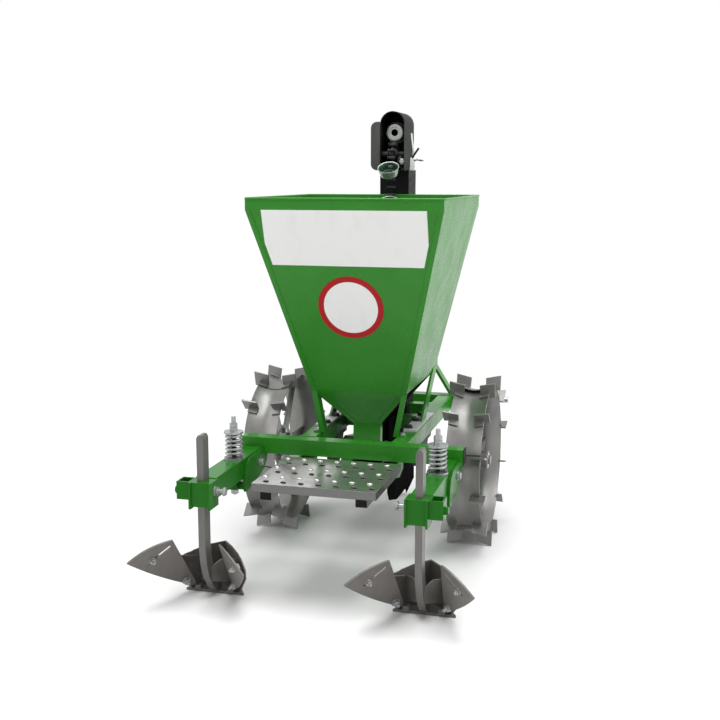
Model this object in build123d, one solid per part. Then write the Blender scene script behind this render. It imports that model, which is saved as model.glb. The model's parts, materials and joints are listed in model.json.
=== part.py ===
from build123d import *
import math
import os

# Sizes of the whole machine, in millimetres
ROW_SPACING = 625.0
BOX_TUBE = 50.0
BOX_WALL = 4.0
FRAME_TOP = 390.0
TOOLBAR_OVERHANG = 43.5
TOOLBAR_LENGTH = ROW_SPACING + 2 * TOOLBAR_OVERHANG
RAIL_OFFSET = 150.0
FRONT_BAR_Y = 820.0
FRONT_BAR_LENGTH = 620.0
REAR_END_Y = -557.0
FRONT_END_Y = 945.0

# Driving wheels
WHEEL_OFFSET = 337.0
AXLE_Y = 352.0
RIM_RADIUS = 247.0
RIM_WIDTH = 112.0
RIM_VALLEY = 15.0
RIM_SHEET = 4.0
LUG_COUNT = 12
LUG_TIP_RADIUS = 283.0
LUG_THICKNESS = 6.0
LUG_OVERHANG = 18.0
LUG_INBOARD = 30.0
LUG_FOOT = 24.0
AXLE_RADIUS = 15.0
AXLE_STUB = 55.0
AXLE_LENGTH = 2 * (WHEEL_OFFSET + AXLE_STUB)
HUB_RADIUS = 30.0
HUB_LENGTH = 90.0
SPOKE_COUNT = 6
SPOKE_WIDTH = 40.0
SPOKE_THICKNESS = 8.0
AXLE_Z = LUG_TIP_RADIUS * math.cos(math.pi / LUG_COUNT) + LUG_THICKNESS / 2 * math.sin(math.pi / LUG_COUNT)

# Hopper
SHEET = 3.0
HOPPER_TOP = 1140.0
HOPPER_BAND = 35.0
HOPPER_TOP_HALF = 302.0
HOPPER_REAR_Y = -74.0
HOPPER_FRONT_Y = 565.0
KINK_Z = 531.0
KINK_HALF = 157.0
KINK_Y = 114.0
WELL_TOP = 404.0
WELL_HALF = 46.0
WELL_REAR_Y = 222.0
WELL_DEPTH = 60.0
WELL_BOTTOM = 300.0
SPOUT_DEPTH = 26.0

# Slender legs under the hopper's corners
LEG_SHEET = 4.0
LEG_WIDTH = 17.0
LEG_DEPTH = 34.0
LEG_FOOT = 130.0

# Cup elevator
CHAIN_Y = 585.0
CHAIN_LOW_Z = 235.0
CHAIN_RADIUS = 36.0
CHAIN_HALF_DEPTH = 6.0
CHAIN_WIDTH = 28.0
CUP_COUNT = 20
CUP_RADIUS = 33.0
CUP_HEIGHT = 30.0
CUP_OFFSET = 38.0
CUP_HOLE = 12.0
DUCT_REAR_Y = 596.0
DUCT_FRONT_Y = 712.0
DUCT_TOP = 1221.0
DUCT_HALF = 51.0
DUCT_BOTTOM = 300.0
HOOD_HALF = 43.0
HOOD_REAR_Y = 560.0
HOOD_HEIGHT = 201.0
HOOD_TOP = DUCT_TOP + HOOD_HEIGHT
CHAIN_DROP = 144.0
CHAIN_TOP_Z = HOOD_TOP - CHAIN_DROP

# Flat flanges beside the hood's mouth
FLANGE_REACH = 75.0
FLANGE_TOP = 1387.0
FLANGE_SHEET = 4.0
FLANGE_CORNER = 22.0

# Furrow opener round the foot of the elevator
OPENER_SHEET = 5.0
OPENER_REAR_Y = 300.0
OPENER_NOSE_Y = 815.0
OPENER_TOP = 335.0
OPENER_LOW = 6.0

# Step for the person who feeds the hopper
STEP_HALF = 181.0
STEP_REAR_Y = -378.0
STEP_FRONT_Y = -67.0
STEP_TOP = 352.0
STEP_LIP = 24.0
STEP_SHEET = 4.0
STEP_TUBE_X = 139.0
STEP_TUBE_WIDTH = 33.0
STEP_TUBE_HEIGHT = 22.0
STEP_TUBE_WALL = 3.0

# Ridgers behind the toolbar
ARM_REAR_Y = -390.0
ARM_TOP = 362.0
ARM_SIZE = 60.0
ARM_WALL = 4.0
BRACKET_SHEET = 8.0
SEAT_GAP = 0.5
SPRING_Y = -173.0
SPRING_RADIUS = 23.5
SPRING_WIRE = 4.0
SPRING_LOW = 368.0
SPRING_TOP = 442.0
SPRING_TURNS = 6
TINE_Y = -412.0
TINE_GAP = 0.3
CLAMP_INNER = 30.0
CLAMP_OUTER = 22.0
CLAMP_LOW = 291.0
CLAMP_TOP = 361.0
CLAMP_RIB = 6.0
POCKET_WIDTH = 40.0
POCKET_LOW = 309.0
POCKET_WALL = 5.0
BREAST_TOP = 130.0
TINE_TOP = 493.0
TINE_WIDTH = 20.0
TINE_DEPTH = 40.0
SHARE_THICKNESS = 8.0
WING_SHEET = 5.0
WING_TIP = (172.0, REAR_END_Y, 147.0)
WING_TOP = (70.0, -475.0, 198.0)
WING_FOOT = (57.0, -336.0, 14.0)
WING_SLOT = 9.0

# Hitch
LOWER_PIN_RADIUS = 11.0
LOWER_PIN_LENGTH = 65.0
LOWER_PIN_Y = 915.0
LOWER_PIN_Z = 365.0
TOP_HOLE_RADIUS = 9.75
TOP_HOLE_Z = 705.0
TOP_HOLE_Y = 862.0
HITCH_SHEET = 10.0

FRAME_LOW = FRAME_TOP - BOX_TUBE
ROW = ROW_SPACING / 2
SIDES = (("left", -1), ("right", 1))


def block(x0, x1, y0, y1, z0, z1):
    lx, hx = sorted((x0, x1))
    ly, hy = sorted((y0, y1))
    lz, hz = sorted((z0, z1))
    centre = Pos((lx + hx) / 2, (ly + hy) / 2, (lz + hz) / 2)
    return centre * Box(hx - lx, hy - ly, hz - lz)


def prism_x(points, x0, x1):
    face = make_face(Polyline(*[(x0, y, z) for y, z in points], close=True))
    return extrude(face, amount=abs(x1 - x0), dir=(1 if x1 > x0 else -1, 0, 0))


def prism_y(points, y0, y1):
    face = make_face(Polyline(*[(x, y0, z) for x, z in points], close=True))
    return extrude(face, amount=abs(y1 - y0), dir=(0, 1 if y1 > y0 else -1, 0))


def prism_z(points, z0, z1):
    face = make_face(Polyline(*[(x, y, z0) for x, y in points], close=True))
    return extrude(face, amount=abs(z1 - z0), dir=(0, 0, 1 if z1 > z0 else -1))


def rod_x(x0, x1, y, z, radius):
    return Pos((x0 + x1) / 2, y, z) * Rot(0, 90, 0) * Cylinder(radius, abs(x1 - x0))


def rod_z(x, y, z0, z1, radius):
    return Pos(x, y, (z0 + z1) / 2) * Cylinder(radius, abs(z1 - z0))


def offset_path(points, distance):
    # Moves an open path sideways, to the left of its direction, with mitred corners
    lines = []
    for (ax, ay), (bx, by) in zip(points, points[1:]):
        length = math.hypot(bx - ax, by - ay)
        nx = -(by - ay) / length
        ny = (bx - ax) / length
        lines.append((ax + nx * distance, ay + ny * distance, bx - ax, by - ay))
    moved = [(lines[0][0], lines[0][1])]
    for (px, py, dx, dy), (qx, qy, ex, ey) in zip(lines, lines[1:]):
        step = ((qx - px) * ey - (qy - py) * ex) / (dx * ey - dy * ex)
        moved.append((px + dx * step, py + dy * step))
    last = lines[-1]
    moved.append((last[0] + last[2], last[1] + last[3]))
    return moved


def band(points, distance):
    return list(points) + offset_path(points, distance)[::-1]


def thick_path(points, width):
    return offset_path(points, width / 2) + offset_path(points, -width / 2)[::-1]


def mirrored(points, side):
    return [(side * x, other) for x, other in points]


def tube_x(x0, x1, y0, z0, size, wall):
    inner = block(x0 - 1, x1 + 1, y0 + wall, y0 + size - wall, z0 + wall, z0 + size - wall)
    return block(x0, x1, y0, y0 + size, z0, z0 + size) - inner


def tube_y(x0, y0, y1, z0, size, wall):
    inner = block(x0 + wall, x0 + size - wall, y0 - 1, y1 + 1, z0 + wall, z0 + size - wall)
    return block(x0, x0 + size, y0, y1, z0, z0 + size) - inner


nodes = {}

# Frame of square tube
half_bar = TOOLBAR_LENGTH / 2
half_front = FRONT_BAR_LENGTH / 2
nodes["rear_toolbar"] = tube_x(-half_bar, half_bar, 0, FRAME_LOW, BOX_TUBE, BOX_WALL)
nodes["front_toolbar"] = tube_x(-half_front, half_front, FRONT_BAR_Y, FRAME_LOW, BOX_TUBE, BOX_WALL)
for name, side in SIDES:
    low_x = side * RAIL_OFFSET - BOX_TUBE / 2
    nodes["rail_" + name] = tube_y(low_x, BOX_TUBE, FRONT_BAR_Y, FRAME_LOW, BOX_TUBE, BOX_WALL)

# Hopper outlines: from behind, and from the side
wall_top = HOPPER_TOP - HOPPER_BAND
side_path = [(HOPPER_TOP_HALF, wall_top), (KINK_HALF, KINK_Z), (WELL_HALF, WELL_TOP)]
rear_path = [(HOPPER_REAR_Y, wall_top), (KINK_Y, KINK_Z), (WELL_REAR_Y, WELL_TOP)]
front_outline = mirrored(side_path, -1) + side_path[::-1]
side_outline = rear_path + [(HOPPER_FRONT_Y, WELL_TOP), (HOPPER_FRONT_Y, wall_top)]
hopper_body = prism_y(front_outline, HOPPER_REAR_Y - 5, HOPPER_FRONT_Y)
hopper_body &= prism_x(side_outline, -HOPPER_TOP_HALF, HOPPER_TOP_HALF)

# Hopper walls, each panel its own sheet
inside_path = offset_path(rear_path, SHEET)
inside_front = HOPPER_FRONT_Y - SHEET
inside_outline = inside_path + [(inside_front, WELL_TOP - 5), (inside_front, wall_top + 5)]
full_width = prism_y(front_outline, HOPPER_REAR_Y - 5, HOPPER_FRONT_Y)
rear_sheet = prism_x(band(rear_path, SHEET), -HOPPER_TOP_HALF, HOPPER_TOP_HALF) & full_width
inside_length = prism_x(inside_outline, -HOPPER_TOP_HALF - 5, HOPPER_TOP_HALF + 5)
below_kink = block(-400, 400, -200, 700, WELL_TOP, KINK_Z)
above_kink = block(-400, 400, -200, 700, KINK_Z, wall_top)
nodes["hopper_front_panel"] = full_width & block(-400, 400, inside_front, HOPPER_FRONT_Y, WELL_TOP, wall_top)
nodes["hopper_rear_panel"] = rear_sheet & above_kink
nodes["funnel_rear_panel"] = rear_sheet & below_kink
for name, side in SIDES:
    strip = mirrored(band(side_path, -SHEET), side)
    sheet = prism_y(strip, HOPPER_REAR_Y - 5, HOPPER_FRONT_Y) & inside_length
    nodes["hopper_%s_panel" % name] = sheet & above_kink
    nodes["funnel_%s_panel" % name] = sheet & below_kink

# Upright band round the hopper's mouth
rim_outer = block(-HOPPER_TOP_HALF, HOPPER_TOP_HALF, HOPPER_REAR_Y, HOPPER_FRONT_Y, wall_top, HOPPER_TOP)
rim_inner = block(-HOPPER_TOP_HALF + 4, HOPPER_TOP_HALF - 4, HOPPER_REAR_Y + 4, HOPPER_FRONT_Y - 4, 900, 1200)
nodes["hopper_rim"] = rim_outer - rim_inner

# Narrow well under the hopper, open over the rising cups
well_box = block(-WELL_HALF, WELL_HALF, WELL_REAR_Y, HOPPER_FRONT_Y, WELL_BOTTOM, WELL_TOP)
well_inside = prism_x(
    [
        (WELL_REAR_Y + SHEET, WELL_TOP + 1),
        (WELL_REAR_Y + SHEET, WELL_TOP - WELL_DEPTH + SHEET),
        (468, WELL_BOTTOM + SHEET),
        (468, WELL_BOTTOM - 1),
        (inside_front, WELL_BOTTOM - 1),
        (inside_front, WELL_TOP + 1),
    ],
    -WELL_HALF + SHEET,
    WELL_HALF - SHEET,
)
under_floor = prism_x(
    [(WELL_REAR_Y - 1, WELL_BOTTOM - 1), (WELL_REAR_Y - 1, WELL_TOP - WELL_DEPTH), (465, WELL_BOTTOM - 1)],
    -WELL_HALF - 1,
    WELL_HALF + 1,
)
well = well_box - well_inside - under_floor
spout_end = block(-400, 400, 0, WELL_REAR_Y + SPOUT_DEPTH, 0, WELL_TOP)
nodes["hopper_spout"] = well & spout_end
nodes["hopper_well"] = well - spout_end

# Legs that carry the hopper on the rails
for name, side in SIDES:
    foot = LEG_FOOT - LEG_WIDTH
    head = KINK_HALF - LEG_WIDTH
    leg_y = KINK_Y + 2
    outline = [(foot, FRAME_TOP), (LEG_FOOT, FRAME_TOP), (KINK_HALF, KINK_Z), (head, KINK_Z)]
    rib = [(foot, FRAME_TOP), (foot + LEG_SHEET, FRAME_TOP), (head + LEG_SHEET, KINK_Z), (head, KINK_Z)]
    leg = prism_y(mirrored(outline, side), leg_y, leg_y + LEG_SHEET)
    leg += prism_y(mirrored(rib, side), leg_y, leg_y + LEG_DEPTH)
    leg += block(side * foot, side * RAIL_OFFSET, leg_y, leg_y + LEG_DEPTH, FRAME_TOP, FRAME_TOP + LEG_SHEET)
    nodes["hopper_rear_leg_" + name] = leg - hopper_body
    strut = prism_x(thick_path([(330, 372), (600, 578)], 40), side * 154, side * 162)
    strut &= block(-400, 400, 0, 596, FRAME_TOP + 6, 590)
    nodes["hopper_front_leg_" + name] = strut - hopper_body

# Drop duct, hood and its flared cheeks
duct_outer = block(-DUCT_HALF, DUCT_HALF, DUCT_REAR_Y, DUCT_FRONT_Y, DUCT_BOTTOM, DUCT_TOP)
duct_inner = block(-DUCT_HALF + 3, DUCT_HALF - 3, DUCT_REAR_Y + 3, DUCT_FRONT_Y - 3, 200, 1300)
nodes["drop_duct"] = duct_outer - duct_inner
spring_line = HOOD_TOP - HOOD_HALF


def arch(half, z0, y0, y1):
    body = block(-half, half, y0, y1, z0, spring_line)
    return body + Pos(0, (y0 + y1) / 2, spring_line) * Rot(90, 0, 0) * Cylinder(half, y1 - y0)


hood = arch(HOOD_HALF, DUCT_TOP, HOOD_REAR_Y, DUCT_FRONT_Y)
hood += block(-DUCT_HALF, DUCT_HALF, DUCT_REAR_Y, DUCT_FRONT_Y, DUCT_TOP, DUCT_TOP + 4)
hood -= arch(HOOD_HALF - 3, DUCT_TOP - 1, HOOD_REAR_Y - 1, DUCT_FRONT_Y - 3)
nodes["elevator_hood"] = hood
cheeks = []
for name, side in SIDES:
    flange = block(side * HOOD_HALF, side * FLANGE_REACH, HOOD_REAR_Y - FLANGE_SHEET, HOOD_REAR_Y, DUCT_TOP + 2, FLANGE_TOP)
    outer_edges = flange.edges().filter_by(Axis.Y).group_by(Axis.X)[-1 if side > 0 else 0]
    cheeks.append(fillet(outer_edges, FLANGE_CORNER))
nodes["hood_cheeks"] = Compound(children=cheeks)

# Guide behind the rising chain
nodes["chain_guide"] = block(-28, 28, inside_front - 6, inside_front, WELL_TOP, wall_top)

# Cup chain as one loop with its cups
half_run = (CHAIN_TOP_Z - CHAIN_LOW_Z) / 2


def race(radius, width):
    body = block(-width / 2, width / 2, CHAIN_Y - radius, CHAIN_Y + radius, CHAIN_LOW_Z, CHAIN_TOP_Z)
    for z in (CHAIN_LOW_Z, CHAIN_TOP_Z):
        body += rod_x(-width / 2, width / 2, CHAIN_Y, z, radius)
    return body


def chain_place(distance):
    # Point on the pitch line and the direction of travel, up the hopper side first
    run = 2 * half_run
    turn = math.pi * CHAIN_RADIUS
    distance = distance % (2 * run + 2 * turn)
    if distance < run:
        return CHAIN_Y - CHAIN_RADIUS, CHAIN_LOW_Z + distance, 90.0
    distance -= run
    if distance < turn:
        angle = math.pi - distance / CHAIN_RADIUS
        y = CHAIN_Y + CHAIN_RADIUS * math.cos(angle)
        return y, CHAIN_TOP_Z + CHAIN_RADIUS * math.sin(angle), math.degrees(angle) - 90
    distance -= turn
    if distance < run:
        return CHAIN_Y + CHAIN_RADIUS, CHAIN_TOP_Z - distance, -90.0
    distance -= run
    angle = -distance / CHAIN_RADIUS
    y = CHAIN_Y + CHAIN_RADIUS * math.cos(angle)
    return y, CHAIN_LOW_Z + CHAIN_RADIUS * math.sin(angle), math.degrees(angle) - 90


cup_shape = loft(
    Sketch() + [Pos(0, 0, 0) * RegularPolygon(23, 12), Pos(0, 0, CUP_HEIGHT) * RegularPolygon(CUP_RADIUS, 12)]
)
cup_space = loft(
    Sketch() + [Pos(0, 0, 3) * RegularPolygon(20, 12), Pos(0, 0, CUP_HEIGHT + 0.1) * RegularPolygon(30, 12)]
)
cup = cup_shape - cup_space - Pos(0, 0, 2) * Cylinder(CUP_HOLE, 10)
cup += block(-8, 8, 25.5, CUP_OFFSET, CUP_HEIGHT / 2 - 4, CUP_HEIGHT / 2 + 4)
chain = race(CHAIN_RADIUS + CHAIN_HALF_DEPTH, CHAIN_WIDTH)
chain -= race(CHAIN_RADIUS - CHAIN_HALF_DEPTH, CHAIN_WIDTH + 2)
loop_length = 4 * half_run + 2 * math.pi * CHAIN_RADIUS
first_cup = 2 * half_run + math.pi * CHAIN_RADIUS / 2
cups = []
for index in range(CUP_COUNT):
    y, z, heading = chain_place(index * loop_length / CUP_COUNT + first_cup)
    placed = Pos(0, y, z) * Rot(heading - 90, 0, 0) * Pos(0, -CUP_OFFSET, -CUP_HEIGHT / 2) * cup
    cups.append(placed)
nodes["cup_chain"] = chain + cups

# Chain wheels inside the loop
for name, z in (("top_sprocket", CHAIN_TOP_Z), ("lower_sprocket", CHAIN_LOW_Z)):
    reach = HOOD_HALF - 3 if name == "top_sprocket" else DUCT_HALF
    wheel = rod_x(-4, 4, CHAIN_Y, z, CHAIN_RADIUS - CHAIN_HALF_DEPTH - 0.3)
    nodes[name] = wheel + rod_x(-16, 16, CHAIN_Y, z, 18) + rod_x(-reach, reach, CHAIN_Y, z, 10)

# Furrow opener: two cheeks joined in a pointed nose
plate = DUCT_HALF + OPENER_SHEET
nose = OPENER_NOSE_Y
half_plan = [(plate, OPENER_REAR_Y), (plate, DUCT_FRONT_Y), (7, nose)]
half_space = [(DUCT_HALF, OPENER_REAR_Y - 1), (DUCT_HALF, DUCT_FRONT_Y), (5, nose - 15)]
plan_outer = half_plan + mirrored(half_plan, -1)[::-1]
plan_inner = half_space + mirrored(half_space, -1)[::-1]
opener = prism_z(plan_outer, 0, WELL_TOP) - prism_z(plan_inner, -1, WELL_TOP + 1)
narrowing = [(10, OPENER_LOW), (plate, OPENER_LOW + 86), (plate, WELL_TOP)]
opener &= prism_y(mirrored(narrowing, -1) + narrowing[::-1], OPENER_REAR_Y - 5, nose + 5)
side_view = [
    (OPENER_REAR_Y, WELL_TOP),
    (OPENER_REAR_Y, 150),
    (OPENER_REAR_Y + 26, 116),
    (450, 84),
    (600, 56),
    (725, OPENER_LOW),
    (nose - 19, OPENER_LOW),
    (nose, OPENER_LOW + 54),
    (nose, OPENER_TOP - 125),
    (DUCT_FRONT_Y, OPENER_TOP),
    (DUCT_REAR_Y, OPENER_TOP),
    (DUCT_REAR_Y - 30, WELL_TOP),
]
opener &= prism_x(side_view, -80, 80)
opener -= rod_x(-80, 80, AXLE_Y, AXLE_Z, AXLE_RADIUS + 6)
nodes["furrow_opener"] = opener

# Brackets from the rails to the well and the duct
brackets = []
for name, side in SIDES:
    for y0, y1, half in ((430, 470, plate), (640, 680, DUCT_HALF)):
        arm = block(side * half, side * 125, y0, y0 + 5, 345, FRAME_TOP)
        arm += block(side * half, side * 125, y0, y1, FRAME_TOP - 5, FRAME_TOP)
        brackets.append(arm)
nodes["elevator_brackets"] = Compound(children=brackets)

# Closed guard over the drive chain from the axle to the elevator
guard_dy = CHAIN_Y - AXLE_Y
guard_dz = CHAIN_LOW_Z - AXLE_Z
guard_span = math.hypot(guard_dy, guard_dz)
guard_angle = math.degrees(math.atan2(guard_dz, guard_dy))
guard_plane = Plane(
    origin=(-112, (AXLE_Y + CHAIN_Y) / 2, (AXLE_Z + CHAIN_LOW_Z) / 2),
    x_dir=(0, guard_dy / guard_span, guard_dz / guard_span),
    z_dir=(1, 0, 0),
)
guard = extrude(guard_plane * SlotCenterToCenter(guard_span, 104), amount=40, dir=(1, 0, 0))
guard -= Pos(2, 0, 0) * extrude(guard_plane * SlotCenterToCenter(guard_span, 100), amount=36, dir=(1, 0, 0))
guard += rod_x(-72, -plate, CHAIN_Y, CHAIN_LOW_Z, 25)
guard -= rod_x(-120, -60, AXLE_Y, AXLE_Z, AXLE_RADIUS + 5)
nodes["drive_chain_guard"] = guard

# Axle bearings under the rails and their plates on top
plates = []
for name, side in SIDES:
    x0 = side * RAIL_OFFSET - 18
    base = block(x0 - 5, x0 + 41, AXLE_Y - 82, AXLE_Y + 82, FRAME_LOW - 14, FRAME_LOW)
    neck = prism_x(
        [(AXLE_Y - 60, FRAME_LOW - 14), (AXLE_Y + 60, FRAME_LOW - 14), (AXLE_Y + 36, AXLE_Z), (AXLE_Y - 36, AXLE_Z)],
        x0,
        x0 + 36,
    )
    housing = base + neck + rod_x(x0, x0 + 36, AXLE_Y, AXLE_Z, 38)
    nodes["axle_bearing_" + name] = housing - rod_x(x0 - 5, x0 + 41, AXLE_Y, AXLE_Z, AXLE_RADIUS + 0.1)
    plates.append(block(side * 128, side * 172, 200, 480, FRAME_TOP, FRAME_TOP + 6))
nodes["bearing_plates"] = Compound(children=plates)

# Three-point hitch
for name, side in SIDES:
    cheek = prism_x(
        [(870, 390), (870, 340), (925, 338), (945, 352), (945, 378), (925, 392)],
        side * (half_front - HITCH_SHEET),
        side * half_front,
    )
    nodes["hitch_plate_" + name] = cheek
    pin = rod_x(side * half_front, side * (half_front + LOWER_PIN_LENGTH), LOWER_PIN_Y, LOWER_PIN_Z, LOWER_PIN_RADIUS)
    nodes["lower_link_pin_" + name] = pin
    leg = prism_y(mirrored(thick_path([(180, 376), (31, 616)], 10), side), 826, 870)
    leg &= block(-400, 400, 800, 900, FRAME_TOP, 640)
    ear = block(side * 22, side * 32, 826, 892, 590, 738)
    hole = rod_x(side * 10, side * 50, TOP_HOLE_Y, TOP_HOLE_Z, TOP_HOLE_RADIUS)
    nodes["hitch_mast_" + name] = leg + ear - hole

# Step plate with turned-down edges on two tubes
lip_low = STEP_TOP - STEP_LIP
step = block(-STEP_HALF, STEP_HALF, STEP_REAR_Y, STEP_FRONT_Y, lip_low, STEP_TOP)
tray = STEP_HALF - STEP_SHEET
step -= block(-tray, tray, STEP_REAR_Y + STEP_SHEET, STEP_FRONT_Y - STEP_SHEET, lip_low - 1, STEP_TOP - STEP_SHEET)
nodes["step_plate"] = step
tubes = []
gussets = []
tube_low = lip_low - STEP_TUBE_HEIGHT
for name, side in SIDES:
    x0 = side * STEP_TUBE_X - STEP_TUBE_WIDTH / 2
    x1 = x0 + STEP_TUBE_WIDTH
    wall = STEP_TUBE_WALL
    outer = block(x0, x1, STEP_REAR_Y + 2, BOX_TUBE, tube_low, lip_low)
    tubes.append(outer - block(x0 + wall, x1 - wall, STEP_REAR_Y, BOX_TUBE + 1, tube_low + wall, lip_low - wall))
    edge = side * (STEP_TUBE_X + STEP_TUBE_WIDTH / 2)
    profile = [(-70, lip_low), (-70, tube_low + 2), (0, 292), (50, 308), (50, FRAME_LOW), (0, FRAME_LOW), (-8, lip_low)]
    gussets.append(prism_x(profile, edge, edge + side * 6))
nodes["step_tubes"] = Compound(children=tubes)
nodes["step_gussets"] = Compound(children=gussets)

# Ridger arms with their brackets, springs and rods
springs = []
rods = []
for name, side in SIDES:
    centre = side * ROW
    half = ARM_SIZE / 2
    arm = tube_y(centre - half, ARM_REAR_Y, -8, ARM_TOP - ARM_SIZE, ARM_SIZE, ARM_WALL)
    nodes["ridger_arm_" + name] = arm - rod_z(centre, SPRING_Y, 290, 380, 9)
    outline = [
        (-184, 286),
        (-179, 318),
        (-162, 344),
        (-134, 358),
        (-20, 360),
        (0, 353),
        (0, 340),
        (22, 340),
        (12, 316),
        (-13, 295),
        (-113, 268),
        (-176, 262),
    ]
    near = half + SEAT_GAP
    far = near + BRACKET_SHEET
    cheeks = prism_x(outline, centre - far, centre - near)
    cheeks += prism_x(outline, centre + near, centre + far)
    bridge = block(centre - near, centre + near, SPRING_Y - 2, SPRING_Y + 28, 268, 284)
    bridge += block(centre - 14, centre + 14, SPRING_Y - 14, SPRING_Y, 268, 284)
    nodes["arm_bracket_" + name] = cheeks + bridge - rod_z(centre, SPRING_Y, 260, 300, 8)
    turns = SPRING_TOP - SPRING_LOW - 2 * SPRING_WIRE
    coil = Helix(turns / SPRING_TURNS, turns, SPRING_RADIUS)
    section = Plane(origin=coil @ 0, z_dir=coil % 0) * Circle(SPRING_WIRE)
    springs.append(Pos(centre, SPRING_Y, SPRING_LOW + SPRING_WIRE) * sweep(section, path=coil))
    rod = rod_z(centre, SPRING_Y, 252, SPRING_TOP + 50, 7) + rod_z(centre, SPRING_Y, ARM_TOP, SPRING_LOW, 30)
    rod += rod_z(centre, SPRING_Y, SPRING_TOP, SPRING_TOP + 6, 30)
    for z0 in (SPRING_TOP + 6, SPRING_TOP + 19, 255.7):
        rod += Pos(centre, SPRING_Y, z0) * extrude(RegularPolygon(13, 6), amount=12)
    rods.append(rod)
nodes["pressure_springs"] = Compound(children=springs)
nodes["spring_rods"] = Compound(children=rods)

# Tines, clamps, shares and adjustable wings
tine_path = [(-412, TINE_TOP), (-412, 170), (-405, 122), (-388, 80), (-362, 46), (-322, 14)]
for name, side in SIDES:
    centre = side * ROW
    half = TINE_WIDTH / 2
    tine = prism_x(thick_path(tine_path, TINE_DEPTH), centre - half, centre + half)
    crown = [(-half, SHARE_THICKNESS), (half, SHARE_THICKNESS), (half, TINE_TOP - 9), (half - 5, TINE_TOP)]
    crown += [(5 - half, TINE_TOP), (-half, TINE_TOP - 9)]
    nodes["tine_" + name] = tine & prism_y([(centre + x, z) for x, z in crown], -500, -300)
    back = TINE_Y - TINE_DEPTH / 2 - 16
    hole = TINE_DEPTH / 2 + TINE_GAP
    sleeve = block(centre - side * CLAMP_INNER, centre + side * CLAMP_OUTER, back, ARM_REAR_Y, CLAMP_LOW, CLAMP_TOP)
    for edge in (-CLAMP_INNER - CLAMP_RIB, CLAMP_OUTER):
        x0 = centre + side * edge
        sleeve += block(x0, x0 + side * CLAMP_RIB, back - 7, ARM_REAR_Y, CLAMP_LOW - 6, CLAMP_TOP)
    sleeve -= block(centre - half - TINE_GAP, centre + half + TINE_GAP, TINE_Y - hole, TINE_Y + hole, 280, 370)
    x0 = centre + side * (CLAMP_OUTER + CLAMP_RIB)
    x1 = x0 + side * POCKET_WIDTH
    wall = side * POCKET_WALL
    ring = block(x0, x1, back + 4, ARM_REAR_Y - 4, POCKET_LOW, CLAMP_TOP)
    ring -= block(x0 + wall, x1 - wall, back + 4 + POCKET_WALL, ARM_REAR_Y - 4 - POCKET_WALL, 290, 370)
    nodes["tine_clamp_" + name] = sleeve + ring
    share = prism_z([(centre, -190), (centre + 90, -345), (centre - 90, -345)], 0, SHARE_THICKNESS)
    for turn in (-1, 1):
        wall = [(centre, -252), (centre + turn * 82, -345), (centre + turn * 76, -345), (centre, -259)]
        share += prism_z(wall, SHARE_THICKNESS, BREAST_TOP)
    crest = [(95, 0), (95, BREAST_TOP - 30), (70, BREAST_TOP - 8), (35, BREAST_TOP)]
    ridge = crest + mirrored(crest, -1)[::-1]
    nodes["ridger_body_" + name] = share & prism_y([(centre + x, z) for x, z in ridge], -400, -150)
    wings = []
    for turn in (-1, 1):
        tip, top, foot = [Vector(centre + turn * x, y, z) for x, y, z in (WING_TIP, WING_TOP, WING_FOOT)]
        normal = (top - tip).cross(foot - tip).normalized()
        bulge = (tip + top) * 0.5 + (top - foot).normalized() * 14
        belly = (tip + foot) * 0.5 - (top - foot).normalized() * 16
        edges = [ThreePointArc(tip, bulge, top), Line(top, foot), ThreePointArc(foot, belly, tip)]
        wing = extrude(make_face(edges), amount=WING_SHEET / 2, dir=normal, both=True)
        slot_top = tip + (top - tip) * 0.80 + (foot - tip) * 0.08
        slot_low = tip + (top - tip) * 0.21 + (foot - tip) * 0.17
        slot_plane = Plane(origin=(slot_top + slot_low) * 0.5, x_dir=slot_low - slot_top, z_dir=normal)
        slot = slot_plane * SlotCenterToCenter((slot_low - slot_top).length, WING_SLOT)
        wing -= extrude(slot, amount=20, both=True)
        wings.append(wing + block(centre + turn * 42, centre + turn * 60, -352, -332, SHARE_THICKNESS, 22))
    nodes["ridger_wings_" + name] = Compound(children=wings)

# Axle with both driving wheels
nodes["axle"] = rod_x(-AXLE_LENGTH / 2, AXLE_LENGTH / 2, AXLE_Y, AXLE_Z, AXLE_RADIUS)
half_rim = RIM_WIDTH / 2
valley = RIM_RADIUS - RIM_VALLEY
rim_curve = [(-1.0, 0.0), (-0.5, 0.70), (0.0, 1.0), (0.5, 0.70), (1.0, 0.0)]
rim_top = [(half_rim * x, RIM_RADIUS - RIM_VALLEY * dip) for x, dip in rim_curve]
rim_profile = rim_top + [(x, r - RIM_SHEET) for x, r in rim_top[::-1]]
rim = revolve(make_face(Polyline(*rim_profile, close=True)), axis=Axis.X)
inboard_r = RIM_RADIUS - RIM_VALLEY * 0.74
lug_profile = [
    (half_rim - LUG_INBOARD, inboard_r - 1),
    (half_rim, RIM_RADIUS - 1),
    (half_rim, RIM_RADIUS - 14),
    (half_rim + LUG_OVERHANG, RIM_RADIUS - 14),
    (half_rim + LUG_OVERHANG, LUG_TIP_RADIUS),
    (half_rim - LUG_INBOARD, LUG_TIP_RADIUS),
]
foot_profile = [
    (half_rim - LUG_INBOARD, inboard_r - 1),
    (half_rim, RIM_RADIUS - 1),
    (half_rim, RIM_RADIUS + LUG_THICKNESS),
    (half_rim - LUG_INBOARD, inboard_r + LUG_THICKNESS),
]
lugs = []
for index in range(LUG_COUNT):
    angle = -90 + (index + 0.5) * 360 / LUG_COUNT
    for edge in (-1, 1):
        outline = make_face(Polyline(*mirrored(lug_profile, edge), close=True))
        foot = make_face(Polyline(*mirrored(foot_profile, edge), close=True))
        lug = extrude(outline, amount=LUG_THICKNESS / 2, both=True) + extrude(foot, amount=LUG_FOOT, dir=(0, 0, 1))
        lugs.append(Rot(angle, 0, 0) * lug)
rim = rim + lugs
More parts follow.
